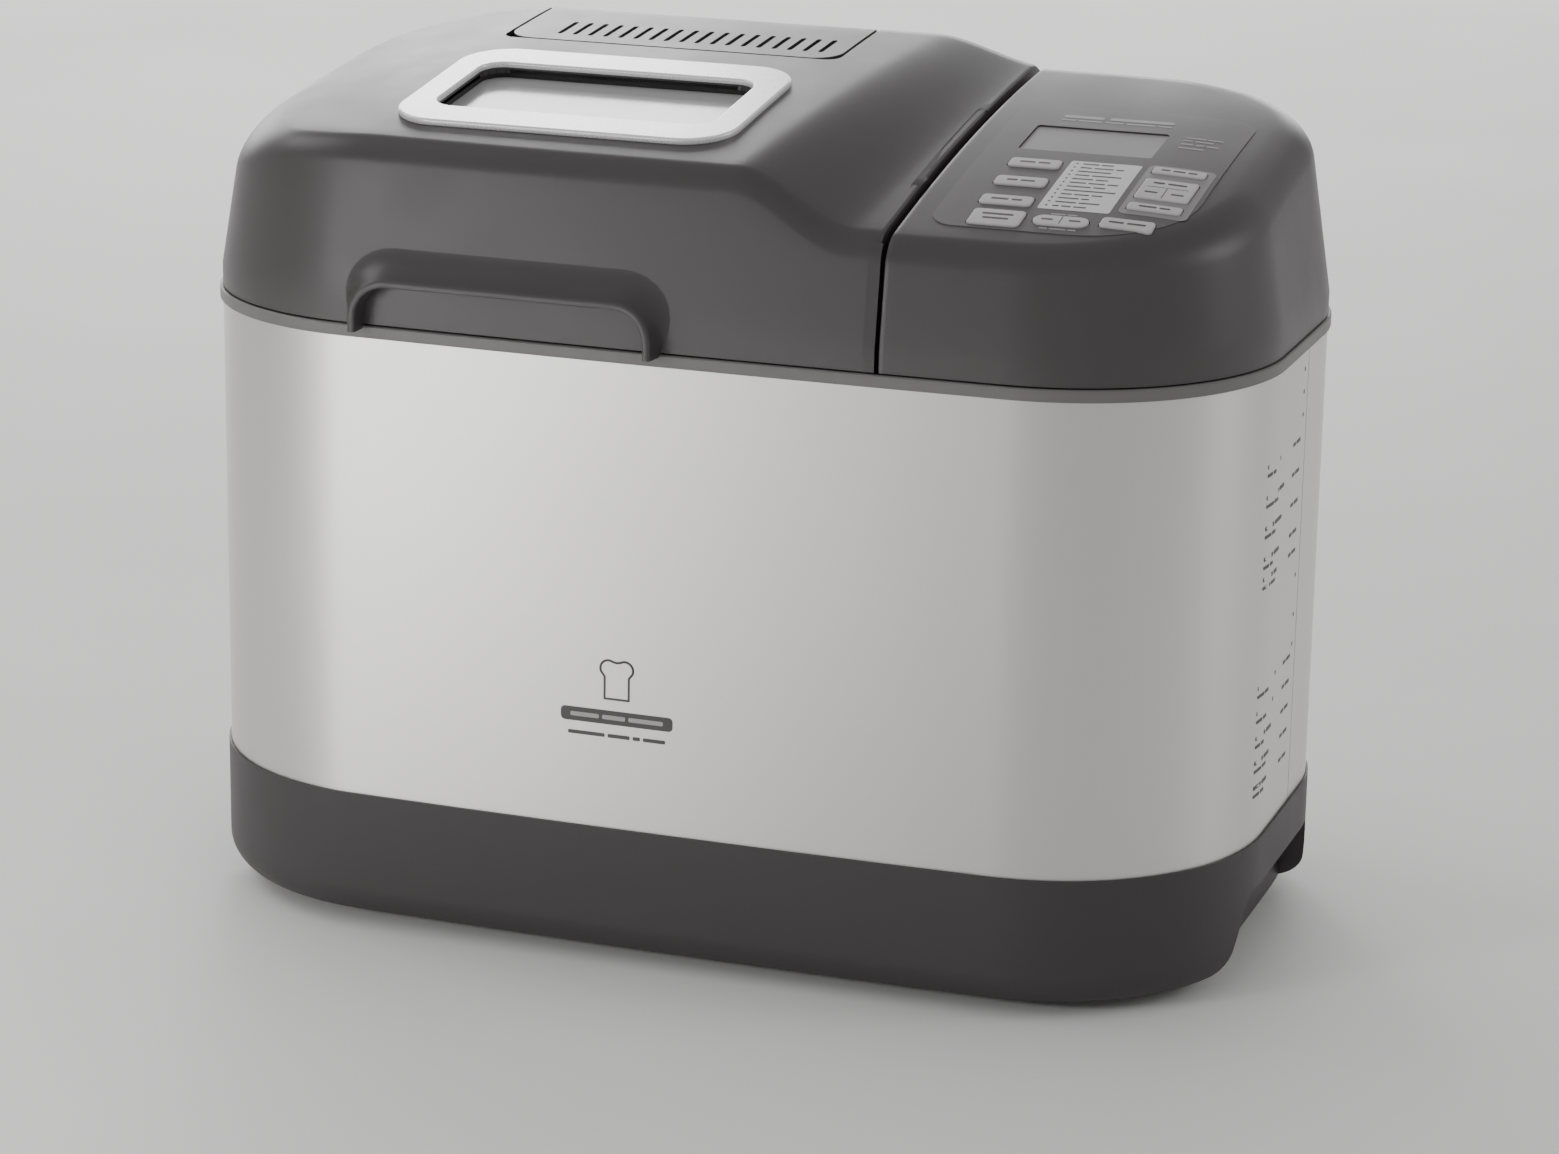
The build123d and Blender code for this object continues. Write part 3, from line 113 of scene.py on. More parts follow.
def finish_of(name, code, rough, metal=0.0, grain=0.5, bump=0.02, stretch=(1, 1, 1), shade=0.06,
              patch=25.0, **extra):
    """A finish with a fine grain (mm) in its relief and broad, faint changes in tone and gloss."""
    material = bpy.data.materials.new(name)
    material.use_nodes = True
    tree = material.node_tree
    tree.nodes.clear()
    place = put(tree, "TexCoord").outputs["Object"]
    scaled = put(tree, "Mapping", {"Vector": place, "Scale": stretch}).outputs["Vector"]
    fine = put(tree, "TexNoise", {"Vector": scaled, "Scale": 1 / (grain * MM), "Detail": 2.0}).outputs["Fac"]
    broad = put(tree, "TexNoise", {"Vector": place, "Scale": 1 / (patch * MM), "Detail": 3.0}).outputs["Fac"]
    tone = put(tree, "MapRange", {"Value": broad, "To Min": 1 - shade, "To Max": 1 + shade}).outputs["Result"]
    colour = put(tree, "MixRGB", {"Fac": 1.0, "Color1": linear(code), "Color2": tone},
                 blend_type="MULTIPLY").outputs["Color"]
    mixed = put(tree, "Math", {0: fine, 1: broad}, operation="ADD").outputs["Value"]
    gloss = put(tree, "MapRange", {"Value": mixed, "From Min": 0.6, "From Max": 1.4,
                                   "To Min": rough * 0.88, "To Max": rough * 1.12}).outputs["Result"]
    relief = put(tree, "Bump", {"Height": fine, "Strength": 1.0, "Distance": bump * MM}).outputs["Normal"]
    inputs = {"Base Color": colour, "Roughness": gloss, "Metallic": metal, "Normal": relief}
    shader = put(tree, "BsdfPrincipled", inputs)
    for key, value in extra.items():
        shader.inputs[key.replace("_", " ")].default_value = value
    put(tree, "OutputMaterial", {"Surface": shader.outputs["BSDF"]})
    return material


# satin charcoal moulding: a very fine spark grain and soft sheen
CHARCOAL = finish_of("satin charcoal plastic", "#454142", 0.4, grain=0.45, bump=0.006)
# the base tray, a shade darker and duller than the covers
BASE = finish_of("matt dark base plastic", "#383435", 0.5, grain=0.5, bump=0.008)
# inner mouldings, near black
BLACK = finish_of("black moulded plastic", "#1c1b1b", 0.5, grain=0.6, bump=0.008)
# the band under the covers, plain mid grey
TRIM = finish_of("grey trim plastic", "#6d6969", 0.45, grain=0.5, bump=0.006)
# printed film over the panel, smoother than the moulding round it
LABEL = finish_of("printed label film", "#555152", 0.42, grain=0.3, bump=0.002, shade=0.03)
# brushed steel: fine level lines that spread highlights up and down
STEEL = finish_of("brushed stainless steel", "#dad8d7", 0.36, metal=1.0, grain=0.18, bump=0.0006,
                  stretch=(0.012, 0.012, 1), shade=0.02, patch=90, Anisotropic=0.7)
upright = put(STEEL.node_tree, "CombineXYZ", {"Z": 1.0})
STEEL.node_tree.links.new(upright.outputs["Vector"], STEEL.node_tree.nodes["Principled BSDF"].inputs["Tangent"])
# dull soft rubber
RUBBER = finish_of("black rubber", "#232222", 0.75, grain=0.6, bump=0.01)
# zinc-plated steel parts inside
PLATED = finish_of("zinc plated steel", "#b9bab8", 0.38, metal=1.0, grain=2.0, bump=0.001, shade=0.08)
# cast aluminium with a slightly rough skin
CAST = finish_of("cast aluminium", "#a9a9a7", 0.5, metal=1.0, grain=0.7, bump=0.012, shade=0.08)
# dark non-stick coating of pan and paddle
COATING = finish_of("non-stick coating", "#2e2d2d", 0.36, metal=0.2, grain=0.25, bump=0.006)
# bronze bush
BRONZE = finish_of("bronze bush", "#a4783f", 0.4, metal=1.0, grain=0.6, bump=0.002)
# polished, silver-painted window frame
SILVER = finish_of("polished silver frame", "#fdfdfd", 0.28, metal=0.3, grain=0.4, bump=0.0008, shade=0.015)
# tempered glass, cool grey, with a real clear reflection; its pale base colour adds a painted reflection on top
PAINTED_REFLECTION_GLASS = finish_of("tinted glass with painted reflection", "#d6d6d6", 0.14, grain=6.0, bump=0.0005, shade=0.02, IOR=1.6,
                  Transmission_Weight=0.25)
# green circuit board
BOARD = finish_of("circuit board", "#2f5a3c", 0.45, grain=0.8, bump=0.004, shade=0.12, patch=6)
# pale rubber-feel key caps
KEY = finish_of("pale grey key", "#c6c3c3", 0.48, grain=0.4, bump=0.004, shade=0.03)
# blank liquid crystal screen behind its window
SCREEN = finish_of("grey display screen", "#a29f9f", 0.22, grain=0.35, bump=0.0008, shade=0.05, patch=18)
# light printing on the label
PALE_INK = finish_of("pale printed ink", "#a5a2a2", 0.45, grain=0.3, bump=0.002, shade=0.08, patch=1.5)
# the chart and the pad, printed in a lighter grey
CHART = finish_of("light printed chart", "#dedcdc", 0.42, grain=0.3, bump=0.002, shade=0.04)
PAD = finish_of("mid grey printed pad", "#8b8888", 0.42, grain=0.3, bump=0.002, shade=0.04)
# dark printing on steel and keys
DARK_INK = finish_of("dark printed ink", "#4a4647", 0.5, grain=0.3, bump=0.002, shade=0.08, patch=1.5)

SLOT_FINISH = {
    "charcoal_plastic": CHARCOAL, "black_plastic": BLACK, "trim_grey": TRIM, "label_grey": LABEL,
    "brushed_steel": STEEL, "rubber": RUBBER, "plated_steel": PLATED, "cast_aluminium": CAST,
    "nonstick_coating": COATING, "bronze": BRONZE, "bezel_chrome": SILVER, "glass": PAINTED_REFLECTION_GLASS,
    "board_green": BOARD, "key_silver": KEY,
}


def wear(obj, material):
    """Gives obj this one material."""
    obj.data.materials.clear()
    obj.data.materials.append(material)


def soft_edges(obj, angle=30):
    """Smooth shading that breaks at corners; vertex places stay as they are."""
    obj.data.polygons.foreach_set("use_smooth", [True] * len(obj.data.polygons))
    weld = obj.modifiers.new("weld", "WELD")
    weld.merge_threshold = 0.00001
    split = obj.modifiers.new("split", "EDGE_SPLIT")
    split.split_angle = math.radians(angle)


for part in frame["record"]["subparts"]:
    wear(NODES[part["node"]], SLOT_FINISH[part["material_slot"]])
    soft_edges(NODES[part["node"]])
wear(NODES["base_tray"], BASE)
wear(NODES["lcd_window"], SCREEN)


# ---------------------------------------------------------------- mesh helpers
def mesh_object(name, points, faces, material, body):
    """Object from points in mm, riding on a body."""
    mesh = bpy.data.meshes.new(name)
    mesh.from_pydata([Vector(p) * MM for p in points], [], faces)
    obj = bpy.data.objects.new(name, mesh)
    bpy.context.scene.collection.objects.link(obj)
    work = bmesh.new()
    work.from_mesh(mesh)
    bmesh.ops.remove_doubles(work, verts=work.verts, dist=0.02 * MM)
    bmesh.ops.recalc_face_normals(work, faces=work.faces)
    work.to_mesh(mesh)
    work.free()
    mesh.materials.append(material)
    if body:
        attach(obj, body)
    return obj


def rounded(width, depth, radius, steps=8):
    """Rounded rectangle as a closed list of points, anticlockwise, round the origin."""
    points = []
    for quarter, (sx, sy) in enumerate(((1, 1), (-1, 1), (-1, -1), (1, -1))):
        cx, cy = sx * (width / 2 - radius), sy * (depth / 2 - radius)
        for k in range(steps + 1):
            a = math.pi / 2 * (quarter + k / steps)
            points.append((cx + radius * math.cos(a), cy + radius * math.sin(a)))
    return points


def prism(name, points, low, high, place, material=None, body=None):
    """Upright prism over a closed list of points, put in place by a matrix in mm."""
    n = len(points)
    lower = [place @ Vector((x, y, low)) for x, y in points]
    upper = [place @ Vector((x, y, high)) for x, y in points]
    faces = [(i, (i + 1) % n, n + (i + 1) % n, n + i) for i in range(n)]
    faces += [tuple(reversed(range(n))), tuple(range(n, 2 * n))]
    return mesh_object(name, lower + upper, faces, material or BLACK, body)


def apply_all(obj):
    """Bakes an object's modifiers into its mesh."""
    bpy.context.view_layer.update()
    baked = bpy.data.meshes.new_from_object(obj.evaluated_get(bpy.context.evaluated_depsgraph_get()))
    obj.modifiers.clear()
    obj.data = baked


def cut(obj, *tools):
    """Cuts each tool out of obj and drops the tool."""
    for tool in tools:
        step = obj.modifiers.new("cut", "BOOLEAN")
        step.object = tool
        step.operation = "DIFFERENCE"
        step.solver = "EXACT"
        apply_all(obj)
        bpy.data.objects.remove(tool)


def bevel(obj, width, segments, angle):
    """Rounds the corners and keeps the flat faces flat in the shading."""
    step = obj.modifiers.new("bevel", "BEVEL")
    step.width = width * MM
    step.segments = segments
    step.limit_method = "ANGLE"
    step.angle_limit = math.radians(angle)
    obj.data.polygons.foreach_set("use_smooth", [True] * len(obj.data.polygons))
    obj.modifiers.new("even", "WEIGHTED_NORMAL").weight = 90


def join(objects):
    """Joins finished objects into the first."""
    for obj in objects:
        apply_all(obj)
    with bpy.context.temp_override(active_object=objects[0], selected_editable_objects=objects,
                                   selected_objects=objects, object=objects[0]):
        bpy.ops.object.join()
    return objects[0]


# ---------------------------------------------------------------- rounded covers
def perimeter():
    """Points of the body outline with outward normals, anticlockwise from the front right."""
    out = []
    turn = math.pi / 2 - TANGENT
    for k in range(13):
        out.append((HALF_W, CORNER_Y * (k / 6 - 1), 1.0, 0.0))
    for k in range(1, 34):
        a = turn * k / 34
        out.append((CORNER_X + CORNER_R * math.cos(a), CORNER_Y + CORNER_R * math.sin(a),
                    math.cos(a), math.sin(a)))
    reach = BOW_R * math.sin(TANGENT)
    for k in range(88):
        x = reach * (1 - 2 * k / 87)
        a = math.asin(x / BOW_R)
        out.append((x, HALF_D - BOW_R * (1 - math.cos(a)), math.sin(a), math.cos(a)))
    for k in range(33, 0, -1):
        a = turn * k / 34
        out.append((-CORNER_X - CORNER_R * math.cos(a), CORNER_Y + CORNER_R * math.sin(a),
                    -math.cos(a), math.sin(a)))
    return out + [(-x, -y, -nx, -ny) for x, y, nx, ny in out]


def round_radius(nx, ny):
    """Radius of the covers' top edge: tight along the front, fuller at the ends and the rear."""
    end = 18 if nx < 0 else 13
    if ny < 0:
        return 8.5 + (end - 8.5) * ease(1.6 * abs(nx) - 0.6)
    return end + (24 - end) * ease(ny)


def cover_mesh(height):
    """Closed upper skin of a cover: wall, rounded edge and top, as points and faces."""
    columns = []
    for x, y, nx, ny in perimeter():
        crest = 320.0
        for _ in range(14):
            inset = (crest - WALL_TOP) * LEAN
            crest = height(x - nx * inset, y - ny * inset)
        radius = round_radius(nx, ny)
        inset = (crest - WALL_TOP) * LEAN

        def wall(z):
            o = max(0.0, z - WALL_TOP) * LEAN
            return Vector((x - nx * o, y - ny * o, z))

        start = wall(crest - radius)
        corner = wall(crest)
        tx, ty = x - nx * (inset + radius), y - ny * (inset + radius)
        end = Vector((tx, ty, height(tx, ty)))
        column = [wall(COVER_Z), wall(WALL_TOP)]
        for k in range(1, 6):
            column.append(wall(WALL_TOP + (crest - radius - WALL_TOP) * k / 6))
        for k in range(11):
            t = k / 10
            a, b, c = (1 - t) ** 2, 1.4142 * t * (1 - t), t * t
            column.append((start * a + corner * b + end * c) / (a + b + c))
        mx = min(max(x, -MEDIAL_REACH), MEDIAL_REACH)
        for k in range(1, 19):
            s = 1 - k / 18
            px, py = mx + (tx - mx) * s, ty * s
            column.append(Vector((px, py, height(px, py))))
        columns.append(column)
    count, rows = len(columns), len(columns[0])
    points = [p for column in columns for p in column]
    faces = [
        (i * rows + j, (i + 1) % count * rows + j, (i + 1) % count * rows + j + 1, i * rows + j + 1)
        for i in range(count) for j in range(rows - 1)
    ]
    return points, faces


def make_cover(name, height, edge, side, body):
    """Cover shell with a closed seam face at x = edge; side is -1 for the lid, 1 for the panel."""
    points, faces = cover_mesh(height)
    obj = mesh_object(name, points, faces, CHARCOAL, None)
    work = bmesh.new()
    work.from_mesh(obj.data)
    geometry = work.verts[:] + work.edges[:] + work.faces[:]
    cutline = bmesh.ops.bisect_plane(work, geom=geometry, plane_co=(edge * MM, 0, 0), plane_no=(-side, 0, 0),
                                     clear_outer=True, dist=0.00001)["geom_cut"]
    rim = [e for e in cutline if isinstance(e, bmesh.types.BMEdge)]
    low = [v for v in work.verts if abs(v.co.x - edge * MM) < 1e-5 and abs(v.co.z - COVER_Z * MM) < 1e-5]
    low = [v for v in low if any(e.is_boundary for e in v.link_edges)]
    rim.append(work.edges.new((low[0], low[1])))
    bmesh.ops.triangle_fill(work, edges=rim, use_beauty=False)
    bmesh.ops.recalc_face_normals(work, faces=work.faces)
    seam = [
        e for e in work.edges
        if len(e.link_faces) == 2 and all(abs(v.co.x - edge * MM) < 1e-5 for v in e.verts)
        and e.calc_face_angle(0) > 0.6
    ]
    bmesh.ops.bevel(work, geom=seam, offset=SEAM_ROUND * MM, segments=3, profile=0.5, affect="EDGES")
    bmesh.ops.recalc_face_normals(work, faces=work.faces)
    work.to_mesh(obj.data)
    work.free()
    shell = obj.modifiers.new("shell", "SOLIDIFY")
    shell.thickness = WALL * MM
    shell.offset = -1
    apply_all(obj)
    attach(obj, body)
    return obj


UPRIGHT = Matrix.Identity(4)
WINDOW = tangent_frame(lid_height, -59, -42)
WINDOW_OPENING = (114, 57, 9)   # width, depth, corner radius
PANE_OUTLINE = (120, 63, 12)
VENT_X, VENT_Y = -56.8, 60.75
lid_shell = make_cover("lid_shell", lid_height, LID_EDGE, -1, "lid")
cut(
    lid_shell,
    prism("window_cut", rounded(*WINDOW_OPENING), -20, 20, WINDOW),
    prism("vent_cut", [(VENT_X + x, VENT_Y + y) for x, y in rounded(144.4, 62.5, 6)], 300, 360, UPRIGHT),
)
panel_shell = make_cover("panel_shell", panel_height, PANEL_EDGE, 1, "housing")

# name, middle x, middle y, width, depth, corner radius
KEYS = (
    ("key_menu", 116.4, -34.5, 20.0, 8.5, 2.0),
    ("key_loaf", 116.4, -53.0, 20.0, 8.5, 2.0),
    ("key_light", 116.4, -71.3, 20.0, 8.5, 2.0),
    ("key_start", 117.3, -87.0, 20.0, 13.5, 2.0),
    ("key_time", 141.5, -85.8, 21.0, 8.5, 4.0),
    ("key_crust", 166.0, -83.5, 20.0, 8.5, 2.0),
    ("key_custom_top", 171.7, -31.6, 20.5, 6.5, 1.5),
    ("key_custom_mid", 171.7, -50.0, 20.5, 19.0, 1.5),
    ("key_custom_low", 171.7, -67.0, 20.5, 6.5, 1.5),
)
KEY_GAP = 0.4
SCREEN_X, SCREEN_Y = 131.3, -5.8


def key_cutters(keys):
    """Prisms for the openings round some of the keys."""
    return [
        prism("hole", rounded(w + 2 * KEY_GAP, d + 2 * KEY_GAP, r + KEY_GAP), -9, 9,
              tangent_frame(panel_height, x, y))
        for _, x, y, w, d, r in keys
    ]


def panel_cutters():
    """Prisms for the key and screen openings, cut through label and panel alike."""
    screen = prism("hole", rounded(52.5, 28, 1.5), -9, 9, tangent_frame(panel_height, SCREEN_X, SCREEN_Y))
    return key_cutters(KEYS) + [screen]


cut(panel_shell, *panel_cutters())
for cover in (lid_shell, panel_shell):
    soft_edges(cover, 28)


# ---------------------------------------------------------------- panel graphics
def film(name, points, lift, material, body="housing", height=panel_height, thick=0.3):
    """Thin film that follows a surface over a closed plan outline, its top raised by lift."""
    n, rings = len(points), 9
    mx = sum(p[0] for p in points) / n
    my = sum(p[1] for p in points) / n
    grid = []
    for k in range(rings + 1):
        s = 1 - k / rings
        ring = [(mx + (x - mx) * s, my + (y - my) * s) for x, y in points]
        grid += [(x, y, height(x, y) + lift) for x, y in ring]
    skirt = [(x, y, height(x, y) + lift - thick) for x, y in points]
    faces = [
        (k * n + i, k * n + (i + 1) % n, (k + 1) * n + (i + 1) % n, (k + 1) * n + i)
        for k in range(rings) for i in range(n)
    ]
    base = len(grid)
    faces += [(base + i, base + (i + 1) % n, (i + 1) % n, i) for i in range(n)]
    return mesh_object(name, grid + skirt, faces, material, body)


def at(points, x, y):
    """The same points moved by (x, y)."""
    return [(px + x, py + y) for px, py in points]


def dense(points, step=3.0):
    """The same closed outline with its long sides divided."""
    out = []
    for (x0, y0), (x1, y1) in zip(points, points[1:] + points[:1]):
        count = max(1, round(math.dist((x0, y0), (x1, y1)) / step))
        out += [(x0 + (x1 - x0) * k / count, y0 + (y1 - y0) * k / count) for k in range(count)]
    return out


def label_outline():
    """Label: three corners of 10 mm, and one of 40 mm at the front right."""
    corners = ((177, 23, 10, 0), (103, 23, 10, 1), (103, -86, 10, 2), (147, -56, 40, 3))
    points = []
    for cx, cy, radius, quarter in corners:
        for k in range(13):
            a = math.pi / 2 * (quarter + k / 12)
            points.append((cx + radius * math.cos(a), cy + radius * math.sin(a)))
    return dense(points, 4)


overlay = film("label_film", label_outline(), 0.25, LABEL, thick=1.0)
cut(overlay, *panel_cutters())
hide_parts("panel_overlay")
soft_edges(overlay)
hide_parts("panel_cover")
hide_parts("lid_cover")


def bars(name, rows, lift, material, body="housing", height=panel_height):
    """Rows of short bars (x, y, length, thickness) that stand for small print, in one piece."""
    made = []
    for x, y, length, thick in rows:
        outline = dense(at(rounded(length, thick, min(length, thick) * 0.35, 3), x, y), 2)
        made.append(film(name, outline, lift, material, body, height, 0.15))
    return join(made) if len(made) > 1 else made[0]


def words(x, y, length, thick, pattern):
    """One line of print as bars of differing length with even gaps, from x rightwards."""
    gap = thick * 0.8
    room = length - gap * (len(pattern) - 1)
    total = sum(pattern)
    line = []
    for share in pattern:
        part = room * share / total
        line.append((x + part / 2, y, part, thick))
        x += part + gap
    return line


chart = film("cycle_chart", dense(at(rounded(27.5, 47, 1), 143, -52), 3), 0.33, CHART, thick=0.1)
pad = film("custom_pad", dense(at(rounded(26, 47.5, 3), 172.2, -50), 3), 0.33, PAD, thick=0.1)
cut(pad, *key_cutters(KEYS[6:]))
PATTERNS = (
    (4, 3), (3, 5, 2), (6,), (2, 4), (5, 3), (3, 3, 2),
    (4, 2), (7,), (3, 4, 3), (5, 2), (4, 4), (2, 3, 4),
)
CHART_TOP, CHART_PITCH = -31, 3.75
rows = []
for k, pattern in enumerate(PATTERNS):
    row_y = CHART_TOP - k * CHART_PITCH
    rows += words(131.5, row_y, 0.9, 1.1, (1,))
    rows += words(134.2, row_y, 12 + (k * 5) % 9, 1.1, pattern)
bars("chart_print", rows, 0.38, DARK_INK)
heading = words(112, 20.5, 44, 3.0, (5, 8)) + words(112, 16.2, 44, 1.3, (3, 5, 4, 6, 3))
heading += words(164, 6.5, 15, 1.1, (4, 3)) + words(164, 3.2, 12, 1.1, (2, 4))
heading += words(164, -0.8, 15, 1.1, (3, 2, 3)) + words(164, -5.0, 10, 1.1, (5,))
heading += words(136, -79.6, 10, 0.9, (3, 2)) + words(135, -92.3, 14, 0.9, (2, 4, 2))
bars("heading_print", heading, 0.33, PALE_INK)


def key_plane(x, y, lift):
    """Height function of a key's flat top."""
    gx = panel_height(x + 0.5, y) - panel_height(x - 0.5, y)
    gy = panel_height(x, y + 0.5) - panel_height(x, y - 0.5)
    rise = lift * math.sqrt(1 + gx * gx + gy * gy)
    return lambda px, py: panel_height(x, y) + gx * (px - x) + gy * (py - y) + rise


KEY_PRINT = {
    "key_menu": words(-6, 0, 12, 1.5, (4, 3)), "key_loaf": words(-5.5, 0, 11, 1.5, (3, 4)),
    "key_light": words(-6, 0, 12, 1.5, (5, 3)), "key_crust": words(-7, 0, 14, 1.5, (4, 5)),
    "key_start": words(-6, 2, 12, 1.5, (5,)) + words(-5, -1.6, 10, 1.5, (4,)),
    "key_time": words(-7.5, 0, 4.5, 1.3, (1,)) + words(3, 0, 4.5, 1.3, (1,)) + [(0, 0, 0.4, 6.5)],
    "key_custom_top": words(-7, 0, 14, 1.4, (3, 4, 3)), "key_custom_low": words(-6, 0, 12, 1.4, (5, 3)),
    "key_custom_mid": words(-6.5, 5.4, 13, 1.5, (3, 5)) + words(-7.5, -3.6, 5, 1.4, (1,))
    + words(2.5, -3.6, 5, 1.4, (1,)) + [(0, -3.6, 0.4, 9.0)] + [(0, 1.6, 16, 0.4)],
}
for name, x, y, w, d, r in KEYS:
    marks = [(x + mx, y + my, length, thick) for mx, my, length, thick in KEY_PRINT[name]]
    bars(name + "_print", marks, 0.05, DARK_INK, name, key_plane(x, y, 0.9))

# ---------------------------------------------------------------- window frame, sleeve and glass
frame_ring = prism("window_frame", rounded(139, 95, 20, 14), -0.8, 2.0, WINDOW, SILVER, "lid")
cut(frame_ring, prism("hole", rounded(114.4, 57.4, 9, 12), -9, 9, WINDOW))
bevel(frame_ring, 0.9, 3, 60)
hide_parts("window_bezel")
pane = prism("window_pane", rounded(*PANE_OUTLINE, 12), -7.3, -4.3, WINDOW, PAINTED_REFLECTION_GLASS, "lid")
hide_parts("window_glass")
sleeve = prism("window_sleeve", rounded(*PANE_OUTLINE, 12), -4.2, -0.9, WINDOW, BLACK, "lid")
cut(sleeve, prism("hole", rounded(*WINDOW_OPENING, 12), -20, 9, WINDOW))
for piece in (sleeve, pane):
    soft_edges(piece)


# ---------------------------------------------------------------- handle
HANDLE_LEFT, HANDLE_RIGHT, HANDLE_LOW, HANDLE_TOP, HANDLE_R = -123.0, -5.5, 243.6, 261.5, 12.0
LIP_REACH, LIP_THICK, LIP_ROOT = 8.8, 3.2, -1.6


def handle_path():
    """Inner line of the arched lip as (x, z, outward x, outward z)."""
    x0, x1, low, top, radius = HANDLE_LEFT, HANDLE_RIGHT, HANDLE_LOW, HANDLE_TOP, HANDLE_R
    side = top - radius - low
    path = [(x0, low + side * k / 5, -1.0, 0.0) for k in range(5)]
    for k in range(9):
        a = math.pi - math.pi / 2 * k / 8
        path.append((x0 + radius + radius * math.cos(a), top - radius + radius * math.sin(a),
                     math.cos(a), math.sin(a)))
    for k in range(1, 20):
        path.append((x0 + radius + (x1 - x0 - 2 * radius) * k / 20, top, 0.0, 1.0))
    for k in range(9):
        a = math.pi / 2 - math.pi / 2 * k / 8
        path.append((x1 - radius + radius * math.cos(a), top - radius + radius * math.sin(a),
                     math.cos(a), math.sin(a)))
    return path + [(x1, top - radius - side * k / 5, 1.0, 0.0) for k in range(1, 6)]


def front_wall(x, z):
    """Y of the covers' front wall at x and z."""
    return BOW_R - HALF_D - math.sqrt(BOW_R ** 2 - x * x) + max(0.0, z - WALL_TOP) * LEAN


def handle_profile(blend):
    """Closed section of the lip: distance out from its inner line, and reach from the wall."""
    brow = LIP_REACH - 0.9
    section = [(0.0, LIP_ROOT), (0.0, brow), (0.2, LIP_REACH - 0.3), (0.8, LIP_REACH), (2.0, LIP_REACH),
               (2.8, LIP_REACH - 0.3), (LIP_THICK, brow)]
    for k in range(1, 17):
        s = k / 16
        section.append((LIP_THICK + blend * s, brow * (1 - s) ** 2.4 - 0.25 * s))
    section.append((LIP_THICK + blend, LIP_ROOT))
    return section


path = handle_path()
points = []
for x, z, nx, nz in path:
    # the lip's outer side fades into the wall over 13 mm at the top, and hardly at all at its feet
    section = handle_profile(1.5 + 11.5 * ease((z - 245) / 17))
    for d, reach in section:
        points.append((x + nx * d, front_wall(x + nx * d, z + nz * d) - reach, z + nz * d))
m = len(section)
faces = [
    (i * m + j, i * m + (j + 1) % m, (i + 1) * m + (j + 1) % m, (i + 1) * m + j)
    for i in range(len(path) - 1) for j in range(m)
]
faces += [tuple(range(m)), tuple(range((len(path) - 1) * m, len(path) * m))]
handle = mesh_object("handle_lip", points, faces, CHARCOAL, "lid")
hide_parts("lid_handle")
soft_edges(handle, 50)


# ---------------------------------------------------------------- hinge ears and vent lugs
def ear_rod(x, reach, y, z, radius):
    """Round boss along X from x, on the lid."""
    angles = [2 * math.pi * k / 32 for k in range(32)]
    ring = [(radius * math.cos(a), radius * math.sin(a)) for a in angles]
    turn = Matrix(((0, 0, 1), (1, 0, 0), (0, 1, 0))).to_4x4()
    place = Matrix.Translation((x, y, z)) @ turn
    return prism("hinge_ears", ring, 0, reach, place, CHARCOAL, "lid")


def ear_block(x, width, near, far, low, high):
    """Block that ties a boss to the lid's cover."""
    plan = [(x, near), (x + width, near), (x + width, far), (x, far)]
    return prism("hinge_ears", plan, low, high, UPRIGHT, CHARCOAL, "lid")


# the CAD's hinge axis, and the axis of the fruit and nut lid
HINGE_Y, HINGE_Z = 127, 250
NUT_AXIS_Y, NUT_AXIS_Z = 87, 334.4
ears = []
for hinge_x in (-127, -7):
    for start in (hinge_x - 14, hinge_x + 6):
        ears.append(ear_rod(start, 8, HINGE_Y, HINGE_Z, 4))
        ears.append(ear_block(start, 8, HINGE_Y - 8, HINGE_Y, HINGE_Z - 4, HINGE_Z + 4))
for lug_x in (-118, -2):
    ears.append(ear_rod(lug_x, 6, NUT_AXIS_Y, NUT_AXIS_Z, 2.6))
    ears.append(ear_block(lug_x, 6, NUT_AXIS_Y, NUT_AXIS_Y + 7, 331.8, 336.4))
soft_edges(join(ears))


# ---------------------------------------------------------------- printing on the steel
def steel_patch(spots, name, across, material=DARK_INK, lift=0.06):
    """Flat marks on the sleeve: closed outlines of (u, z), carried onto the steel by across(u, lift)."""
    points, faces = [], []
    for outline in spots:
        n = len(outline)
        base = len(points)
        for u, z in outline:
            x, y = across(u, lift)
            points.append((x, y, z))
        for u, z in outline:
            x, y = across(u, -0.1)
            points.append((x, y, z))
        faces.append(tuple(base + i for i in range(n)))
        faces += [(base + i, base + (i + 1) % n, base + n + (i + 1) % n, base + n + i) for i in range(n)]
    return mesh_object(name, points, faces, material, "housing")


def on_front(u, lift):
    """Front of the sleeve at x = u."""
    return u, -(HALF_D - BOW_R + math.sqrt(BOW_R ** 2 - u * u)) - lift


def on_end(u, lift):
    """Right end of the sleeve at depth u."""
    beyond = max(0.0, abs(u) - CORNER_Y)
    nx = math.sqrt(1 - (beyond / CORNER_R) ** 2)
    ny = math.copysign(beyond / CORNER_R, u)
    centre_y = math.copysign(min(abs(u), CORNER_Y), u)
    return CORNER_X + (CORNER_R + lift) * nx, centre_y + (CORNER_R + lift) * ny


def box_outline(u, z, length, thick):
    """Bar with eased corners, centred on (u, z)."""
    radius = min(length, thick) * 0.3
    return [(u + px, z + pz) for px, pz in rounded(length, thick, radius, 3)]


